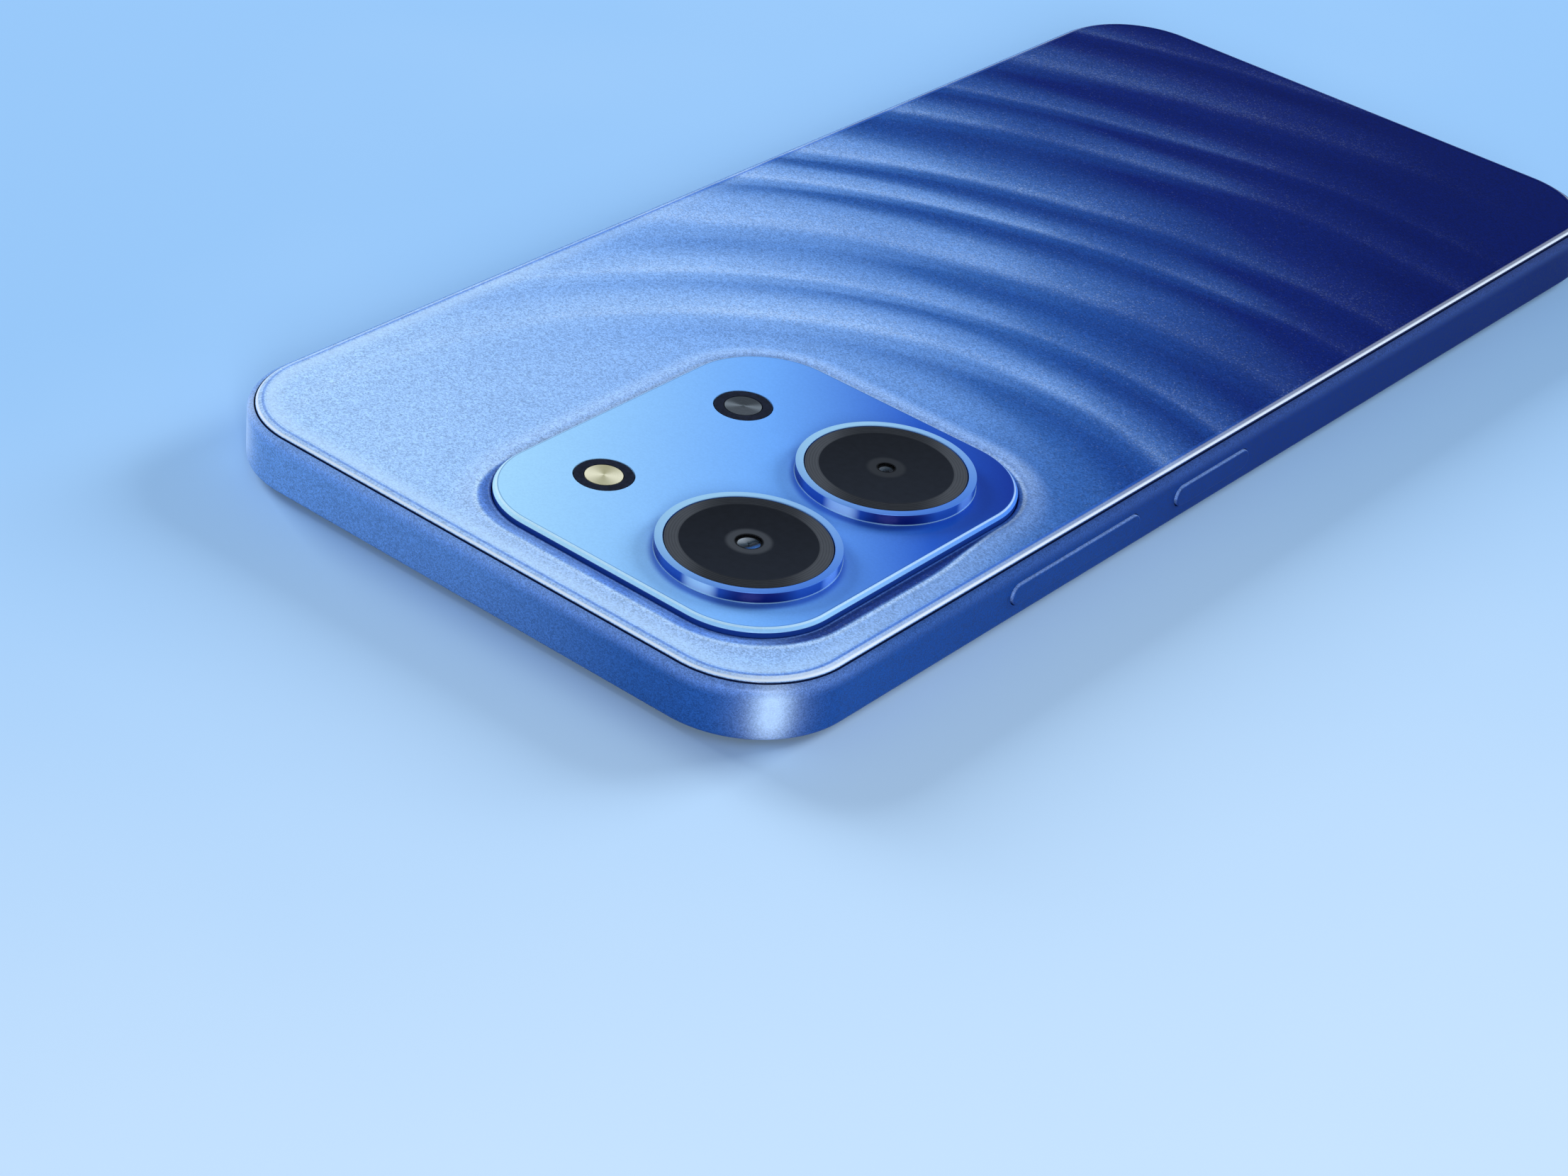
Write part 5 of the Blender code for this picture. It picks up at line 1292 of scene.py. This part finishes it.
# Painted light at the cover's edge: a white highlight line, kept broad on the key side near the top end as a
# painted reflection, a blue line of painted shade by the groove, and a pale painted glow inside it.
key_side_reflection = (1 - (cover_x - cover_low.x).ease(*EDGE_KEY_SIDE)) * near_end.largest(0.35)
white = inward.ease(*WHITE_RISE) * (1 - inward.ease(*WHITE_DIM) * (0.9 - key_side_reflection * 0.6))
white = white * (1 - inward.ease(*WHITE_FALL))
groove = inward.band(*GROOVE) * pale.ease(0.2, 0.6) * (0.95 - pale * 0.5)
glow = inward.band(*GLOW) * pale.ease(0.5, 0.9)
edged = frost.mix(groove, frosted, GROOVE_SHADE_BLUE)
edged = frost.mix(glow * 0.5, edged, GLOW_HIGHLIGHT)
edged = frost.mix(white, edged, EDGE_HIGHLIGHT_WHITE)
side = 1 - inward.ease(*EDGE_SIDE) * (frost.axis("Z") - parting_z).ease(*EDGE_FOOT)
field = inward.ease(*FIELD)
frost.set(Base_Color=frost.mix(side, edged, SEAM_BLACK),
          Roughness=0.24 + field * (0.2 + grain * 0.1),
          Coat_Weight=(1 - field) * 0.2)
frost.bump(frost.noise(FROST_PEEL, 3.0) * field, 0.01 * MM, 0.5)
seat(panel, frost, "cover_blue", "rear_cover")

# %% [markdown]
# ## The glossy island
#
# The island is smooth all over. Its blue sinks from pale to deep along one diagonal. Its chamfer is
# polished, and its bright line is a painted highlight, brightest towards the tray side and the top end,
# with a thin line of painted shade just inside it. A soft crescent of painted shade lies beside each
# ring. The crescents could be left to the lamps, but such soft light casts hardly any shadow, so they
# are painted by distance from the rings.

# %% Island finish
ISLAND_TONES = ((0.04, srgb(0, 36, 138)), (0.22, srgb(34, 90, 198)), (0.48, srgb(110, 172, 248)),
                (0.96, srgb(170, 222, 253)))
CHAMFER_HIGHLIGHT_TONES = ((0.06, srgb(70, 136, 240)), (0.4, srgb(150, 206, 255)), (0.96, srgb(190, 238, 255)))
ISLAND_CLOUD = 20 * MM
RING_SHADE_SHIFT = Vector(NEAR_CORNER_AIM) * 0.75 * MM
RING_SHADE_REACH = 0.7 * MM
RING_SHADE_BLUE = srgb(28, 76, 186)
INNER_LINE = (-0.62 * MM, -0.54 * MM, -0.50 * MM, -0.44 * MM)
INNER_SHADE_LINE_BLUE = srgb(30, 70, 150)
CHAMFER = (-0.50 * MM, -0.44 * MM)
GLEAM = (-0.46 * MM, -0.40 * MM, -0.30 * MM, -0.22 * MM)
GLEAM_PALE = srgb(216, 244, 255)
ISLAND_WALL_TOP = (-0.04 * MM, 0.02 * MM)
ISLAND_WALL_BLUE = srgb(24, 58, 142)
GLAZE_GRAIN = 0.2 * MM
GLAZE_PEEL = 0.5 * MM

glaze = Finish("island_glaze", roughness=0.16, Coat_Weight=0.1, Coat_Roughness=0.05,
               Specular_IOR_Level=0.14)
diagonal = glaze.along(island_middle, (0.25 / island_half.x, 0.25 / island_half.y, 0))
diagonal = diagonal + 0.5 + glaze.sway(ISLAND_CLOUD, 0.04)
ring_shade = 0
for node in RINGS.values():
    past_ring = glaze.distance_from(middle_of(node) + RING_SHADE_SHIFT) - ring_radius
    ring_shade = 1 - past_ring.ease(-RING_SHADE_REACH / 4, RING_SHADE_REACH) + ring_shade
edge = glaze.outline_distance(island_middle, island_half, ISLAND_CORNER)
chamfer = edge.ease(*CHAMFER)
wall = 1 - (glaze.axis("Z") - chamfer_foot).ease(*ISLAND_WALL_TOP)
glazed = glaze.ramp(diagonal, *ISLAND_TONES)
glazed = glaze.mix(ring_shade.smallest(1.0) * 0.75, glazed, RING_SHADE_BLUE)
# Painted highlight on the chamfer, brightest towards the tray side and the top end, a thin line of painted
# shade just inside it, and a bright painted line along it.
glazed = glaze.mix(chamfer, glazed, glaze.ramp(diagonal, *CHAMFER_HIGHLIGHT_TONES))
glazed = glaze.mix(edge.band(*INNER_LINE) * 0.45, glazed, INNER_SHADE_LINE_BLUE)
glazed = glaze.mix(edge.band(*GLEAM) * 0.6, glazed, GLEAM_PALE)
glazed = glaze.mix(wall, glazed, ISLAND_WALL_BLUE)
glaze.set(Base_Color=glaze.brighten(glazed, 0.97 + glaze.cells(GLAZE_GRAIN) * 0.06))
glaze.bump(glaze.noise(GLAZE_PEEL) * (1 - chamfer), 0.002 * MM, 0.2)
seat(island, glaze, "island_blue", "camera_island")

# %% [markdown]
# ## Anodised rings and black windows
#
# The rings are turned metal with a blue anodised coat: a bright flat rim and a deep wall that mirrors
# the room in upright bands. The rim goes from deep to pale blue as a painted highlight towards one
# side, and a pale painted highlight runs round the wall's foot. A real room could be built for them to
# mirror, but it would also show in everything else, so the bands are painted by direction. The window
# is black from below, with a charcoal margin in which fine turned lines and a painted sheen show, a
# grey halo in its middle, and a clear spot in that for the lens.

# %% Ring finish
RIM_DEEP = srgb(86, 142, 238)
RIM_HIGHLIGHT = srgb(168, 220, 255)
RIM_HIGHLIGHT_AIM = (0.97, -0.24, 0.0)
RIM_RISE = (-0.13 * MM, -0.05 * MM)
LIP_TOP = (0.09 * MM, 0.11 * MM)
RING_WALL_BLUE = srgb(36, 86, 186)
RING_BANDS = ((136, 0.12, srgb(4, 22, 104)), (50, 0.05, srgb(14, 46, 138)),
              (99, 0.03, srgb(176, 218, 255)), (190, 0.02, srgb(104, 156, 242)),
              (290, 0.3, srgb(96, 150, 240)))
LATHE_MARK = 0.03 * MM

ring_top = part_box(RINGS["upper"])[1].z


def level_aim(degrees):
    """A level direction, so many degrees round from X."""
    return math.cos(math.radians(degrees)), math.sin(math.radians(degrees)), 0


def anodised(label):
    """The ring's coat. Its wall has upright bands of light and dark round the ring."""
    place = middle_of(RINGS[label])
    coat = Finish(f"anodised_{label}", metallic=0.25, Specular_IOR_Level=0.22)
    height = coat.axis("Z")
    rim = (height - ring_top).ease(*RIM_RISE)
    lip = 1 - (height - island_top).ease(*LIP_TOP)
    wall_blue = RING_WALL_BLUE
    for degrees, width, band_blue in RING_BANDS:
        facing = coat.facing(place, level_aim(degrees))
        wall_blue = coat.mix(facing.ease(1 - width, 1.0), wall_blue, band_blue)
    # Painted highlight: a pale line round the wall's foot, and the rim paler towards one side.
    wall_blue = coat.mix(lip * 0.7, wall_blue, RIM_HIGHLIGHT)
    rim_blue = coat.mix(coat.facing(place, RIM_HIGHLIGHT_AIM) * 0.5 + 0.5, RIM_DEEP, RIM_HIGHLIGHT)
    turned = coat.node("ShaderNodeTexNoise", {"noise_dimensions": "1D"},
                       {"W": coat.distance_from(place), "Scale": 1 / LATHE_MARK, "Detail": 2.0})
    coat.set(Base_Color=coat.mix(rim, wall_blue, rim_blue), Roughness=0.28 + turned * rim * 0.1)
    coat.bump(turned * rim, 0.001 * MM, 0.2)
    return coat


for label, ring in rings.items():
    seat(ring, anodised(label), "ring_blue", RINGS[label])

# %% Window finish
MARGIN_RADIUS = 7.33 * MM
MARGIN_AIM = (0.80, 0.59, 0.0)
MARGIN_SHEEN = (0.1, 0.9)
MARGIN_TONES = ((0.0, srgb(20, 22, 26)), (1.0, srgb(74, 78, 84)))
WINDOW_TONES = ((0.1, srgb(8, 9, 13)), (0.95, srgb(32, 37, 47)))
HALO_RADIUS = {"upper": 2.45 * MM, "lower": 2.1 * MM}
HALO_GREY = {"upper": srgb(60, 64, 70), "lower": srgb(42, 45, 50)}
HALO_FADE = (-0.35 * MM, 0.25 * MM)
PUPIL_RIM = 0.25 * MM
PUPIL_FADE = 0.18 * MM
CLEAR_FADE = 0.1 * MM
LENS_BLACK = srgb(8, 8, 10)
TURNED_LINE = 0.3 * MM
DUST = 0.9 * MM


def masked_window(label):
    """Black glass with a charcoal margin, a grey halo and a clear middle for the lens."""
    place = middle_of(f"lens_window_{label}")
    mask = Finish(f"masked_window_{label}", roughness=0.06, Specular_IOR_Level=0.16)
    radius = mask.distance_from(place)
    clear_radius = EYES[label][0] + PUPIL_RIM
    dust = mask.noise(DUST, 3.0)
    lines = radius.wave(TURNED_LINE) * 0.5 + 0.5
    # Painted sheen: the margin is paler towards both ends of one level direction, and the black glass is
    # paler towards one corner.
    sideways = mask.along(place, MARGIN_AIM) / MARGIN_RADIUS
    margin_sheen = (sideways * sideways).ease(*MARGIN_SHEEN)
    charcoal = mask.ramp(lines * 0.25 + dust * 0.15 + margin_sheen * 0.6, *MARGIN_TONES)
    sheen = mask.along(place, (-1, 1, 0)) / (4 * MARGIN_RADIUS) + 0.5
    black = mask.ramp(dust * 0.3 + sheen * 0.7, *WINDOW_TONES)
    margin = (radius - MARGIN_RADIUS).ease(-0.06 * MM, 0.06 * MM)
    halo = 1 - (radius - HALO_RADIUS[label]).ease(*HALO_FADE)
    pupil = 1 - radius.ease(clear_radius, clear_radius + PUPIL_FADE)
    clear = 1 - radius.ease(clear_radius - CLEAR_FADE, clear_radius)
    ringed = mask.mix(halo, mask.mix(margin, black, charcoal), HALO_GREY[label])
    mask.set(Base_Color=mask.mix(pupil, ringed, LENS_BLACK), Alpha=1 - clear * 0.92)
    return mask


for label, window in windows.items():
    seat(window, masked_window(label), "black_glass", f"lens_window_{label}")

# %% Lens finish
GLINT_AIM = (0.96, -0.28, 0.0)
CONE_GROOVE = 0.16 * MM
CONE_TONES = ((0.0, LENS_BLACK), (1.0, srgb(26, 28, 32)))
COATING_GLINT_DARK = (0.36, srgb(12, 16, 24))
COATING_GLINT_GREY = (0.62, srgb(66, 84, 100))
COATING_GLINTS = {"upper": (srgb(70, 150, 250), srgb(228, 240, 250)),
            "lower": (srgb(30, 40, 60), srgb(120, 130, 140))}


def coated_lens(label):
    """A coated lens in a turned black cone. Its colour is a painted reflection: a pale glint towards one
    side and a tinted glint towards the other.
    """
    place, lens_radius = middle_of(f"lens_element_{label}"), EYES[label][0]
    glow, shine = COATING_GLINTS[label]
    glass = Finish(f"coated_lens_{label}", Specular_IOR_Level=0.5, Coat_Weight=0.6, Coat_Roughness=0.02)
    radius = glass.distance_from(place)
    # Painted reflection on the lens: palest towards one side and tinted towards the other.
    aside = glass.along(place, GLINT_AIM) / lens_radius * 0.5 + 0.5
    coating_glints = glass.ramp(aside, (0.1, glow), COATING_GLINT_DARK, COATING_GLINT_GREY, (0.95, shine))
    black = glass.ramp(radius.wave(CONE_GROOVE) * 0.5 + 0.5, *CONE_TONES)
    cone = (radius - lens_radius).ease(-0.03 * MM, 0.03 * MM)
    glass.set(Base_Color=glass.mix(cone, coating_glints, black), Roughness=0.03 + cone * 0.4)
    return glass


for label, eye in eyes.items():
    seat(eye, coated_lens(label), "lens_glass", f"lens_element_{label}")

# %% [markdown]
# ## Flash, sensor and moulded black
#
# Turned rings spread light across themselves, so a disc with fine rings shows two opposite bright fans,
# like a bow tie. An anisotropic shader could show them too, but fans that are painted by direction from
# the disc's middle are simpler, and they look the same in any viewer.

# %% Lamp finishes
FAN_ANGLE = 35
DISC_GROOVE = 0.13 * MM
DISC_DUST = 0.5 * MM
FAN_TONES = {"flash": (srgb(168, 164, 122), srgb(244, 240, 208)),
             "sensor": (srgb(30, 36, 41), srgb(112, 122, 130))}
FAN_NARROW = {"flash": 1.0, "sensor": 7.0}
DISC_SLOTS = {"flash": "flash_cream", "sensor": "black_glass"}
SPARK_GRAIN = 0.4 * MM


def ringed_disc(label):
    """A small lens with turned rings and two bright fans."""
    place = middle_of(f"{label}_window")
    dark, bright = FAN_TONES[label]
    disc = Finish(f"{label}_lens", roughness=0.22, Coat_Weight=0.8, Coat_Roughness=0.03)
    facing = disc.facing(place, level_aim(FAN_ANGLE))
    fan = (facing * facing) ** FAN_NARROW[label]
    fine = disc.distance_from(place).wave(DISC_GROOVE) * 0.5 + 0.5
    shade = fan * 0.7 + fine * 0.2 + disc.noise(DISC_DUST) * 0.1
    disc.set(Base_Color=disc.ramp(shade, (0.05, dark), (0.9, bright)))
    disc.bump(fine, 0.01 * MM, 0.4)
    return disc


def moulded_black(name, pale=srgb(30, 31, 34), deep=srgb(12, 12, 14)):
    """Moulded plastic with a fine spark-eroded grain."""
    plastic = Finish(name, Specular_IOR_Level=0.2)
    sparks = plastic.noise(SPARK_GRAIN, 4.0)
    plastic.set(Base_Color=plastic.ramp(sparks, (0.3, deep), (0.75, pale)), Roughness=0.42 + sparks * 0.25)
    plastic.bump(sparks, 0.02 * MM, 0.3)
    return plastic


black_plastic = moulded_black("moulded_black")
lamp_black = moulded_black("lamp_black", srgb(30, 36, 54), srgb(15, 19, 32))
for label, surround in surrounds.items():
    seat(surround, lamp_black, "black_plastic", f"{label}_bezel")
for label, disc in discs.items():
    seat(disc, ringed_disc(label), DISC_SLOTS[label], f"{label}_window")

# %% [markdown]
# ## The screen and the sockets
#
# The screen is black glass. When it is off, the lit area still shows as a slightly bluer black inside a
# black border, with a small ring round the front camera. The charging socket is drawn steel, and its
# tongue carries rows of gold contacts. The contacts could be modelled one by one, but they lie flush in
# the tongue, so stripes of metal in its finish are enough.

# %% Screen finish
PANEL_CORNER = 9.0 * MM
PANEL_EDGE = (-0.1 * MM, 0.1 * MM)
PANEL_TONES = ((0.25, srgb(9, 10, 14)), (0.8, srgb(17, 19, 26)))
BORDER_BLACK = srgb(5, 5, 6)
CAMERA_RING = (1.9 * MM, 2.0 * MM, 2.0 * MM, 2.25 * MM)
CAMERA_RING_GREY = srgb(44, 46, 52)
CAMERA_PUPIL = (0.75 * MM, 0.9 * MM)
CAMERA_PUPIL_BLUE = srgb(24, 34, 66)
SMEAR = 25 * MM

panel_half = (panel_high - panel_low) / 2
unlit = Finish("screen_black", Specular_IOR_Level=0.5, Coat_Weight=0.3, Coat_Roughness=0.02)
past_panel = unlit.outline_distance(middle_of("display_panel"), panel_half, PANEL_CORNER)
from_camera = unlit.distance_from(middle_of("front_camera"))
smear = unlit.noise(SMEAR, 3.0, (1, 2.2, 1))
screen_tint = unlit.mix(past_panel.ease(*PANEL_EDGE), unlit.ramp(smear, *PANEL_TONES), BORDER_BLACK)
screen_tint = unlit.mix(from_camera.band(*CAMERA_RING), screen_tint, CAMERA_RING_GREY)
screen_tint = unlit.mix(from_camera.ease(*CAMERA_PUPIL), CAMERA_PUPIL_BLUE, screen_tint)
unlit.set(Base_Color=screen_tint, Roughness=0.04 + smear * 0.06)
seat(screen, unlit, "black_glass", "front_glass")

# %% Metal finish
ROLLED_GRAIN = 0.12 * MM
STEEL_TONES = ((0.25, srgb(140, 141, 146)), (0.8, srgb(196, 196, 200)))

steel = Finish("pressed_steel", metallic=1.0)
rolled = steel.noise(ROLLED_GRAIN, 3.0, (8, 1, 1))
steel.set(Base_Color=steel.ramp(rolled, *STEEL_TONES), Roughness=0.26 + rolled * 0.2)
steel.bump(rolled, 0.004 * MM, 0.4)
seat(usb, steel, "steel", "usb_port")

# %% Tongue and audio socket
CONTACT_PITCH = 0.5 * MM
CONTACT_ENDS = (0.4 * MM, 0.5 * MM, 3.2 * MM, 3.3 * MM)
TONGUE_BLACK = srgb(26, 26, 28)
CONTACT_GOLD = srgb(226, 184, 96)

contacts = moulded_black("contact_tongue")
stripe = contacts.axis("X").wave(CONTACT_PITCH).ease(0.0, 0.2)
stripe = stripe * (contacts.axis("Y") - tongue_low.y).band(*CONTACT_ENDS)
contacts.set(Base_Color=contacts.mix(stripe, TONGUE_BLACK, CONTACT_GOLD), Metallic=stripe,
             Roughness=0.5 - stripe * 0.25)
seat(tongue, contacts, "black_plastic", "usb_tongue")
seat(jack, black_plastic, "black_plastic", "headphone_jack")

# %% [markdown]
# ## Everything inside
#
# The solids that the cover hides stay as they are, and each gets the finish of what it is: a board with
# its solder mask and tracks, amber film, a foil-wrapped battery, tape, foam, mesh and ceramic. They
# could all be left plain, but the tray's slot and the sockets let one look in.

# %% Finishes of the inner pieces
TRACK_PITCH = 0.9 * MM
TRACK_PATCH = 6 * MM
MASK_GREEN = srgb(18, 66, 50)
TRACK_GREEN = srgb(44, 104, 76)
WIRE_PITCH = 0.12 * MM
WIRE_TONES = ((0.2, srgb(22, 22, 24)), (0.8, srgb(96, 97, 102)))


def solder_mask(name):
    """A green board with fine tracks under its mask."""
    board = Finish(name, roughness=0.35, Coat_Weight=0.3)
    tracks = (board.axis("X") + board.axis("Y")).wave(TRACK_PITCH).ease(0.5, 0.7)
    tracks = tracks * board.noise(TRACK_PATCH, 1.0).ease(0.45, 0.5)
    board.set(Base_Color=board.mix(tracks, MASK_GREEN, TRACK_GREEN))
    board.bump(tracks, 0.02 * MM, 0.5)
    return board


def woven(name):
    """A fine mesh of round wires."""
    mesh = Finish(name, roughness=0.6)
    weave = mesh.axis("X").wave(WIRE_PITCH) * mesh.axis("Y").wave(WIRE_PITCH) * 0.5 + 0.5
    mesh.set(Base_Color=mesh.ramp(weave, *WIRE_TONES))
    mesh.bump(weave, 0.03 * MM, 0.7)
    return mesh


def grained(name, pale, deep, size, roughness, depth, stretch=(1, 1, 1)):
    """A plain stuff with its own grain, such as film, foil, tape, foam or ceramic."""
    stuff = Finish(name)
    lumps = stuff.noise(size, 4.0, stretch)
    stuff.set(Base_Color=stuff.ramp(lumps, (0.25, deep), (0.75, pale)), Roughness=roughness + lumps * 0.15)
    stuff.bump(lumps, depth, 0.5)
    return stuff


print("inner finishes ready")

# %% Inner pieces
amber = grained("amber_film", srgb(176, 112, 38), srgb(120, 70, 20), 3 * MM, 0.2, 0.01 * MM, (6, 1, 1))
ceramic = grained("ceramic_white", srgb(236, 232, 220), srgb(214, 208, 192), 0.5 * MM, 0.4, 0.01 * MM)
finish_of_slot = {
    "black_plastic": black_plastic,
    "black_glass": grained("panel_black", srgb(16, 17, 22), srgb(7, 7, 9), 9 * MM, 0.1, 0.001 * MM),
    "grey_mesh": woven("woven_mesh"),
    "board_green": solder_mask("solder_mask"),
    "flex_amber": amber,
    "battery_foil": grained("battery_wrap", srgb(58, 59, 64), srgb(38, 39, 43), 5 * MM, 0.3, 0.05 * MM),
    "steel": steel,
    "glue_tape": grained("tape_black", srgb(36, 36, 37), srgb(18, 18, 19), 0.6 * MM, 0.6, 0.02 * MM),
    "foam": grained("foam_black", srgb(48, 48, 50), srgb(14, 14, 15), 0.3 * MM, 0.75, 0.1 * MM),
    "chip_white": ceramic,
}
slot_of = {part["node"]: part["material_slot"] for part in frame["record"]["subparts"]}
hidden = {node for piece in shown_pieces() for node in piece.get("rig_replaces", [])}
carried = [name for name in frame["nodes"] if name not in hidden]
for name in carried:
    materials = frame["nodes"][name].data.materials
    materials.clear()
    materials.append(finish_of_slot[slot_of[name]].material)
print("inner solids", len(carried))

# %% Size of what is shown
visual_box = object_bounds()
print("visual box in mm", in_mm(visual_box))
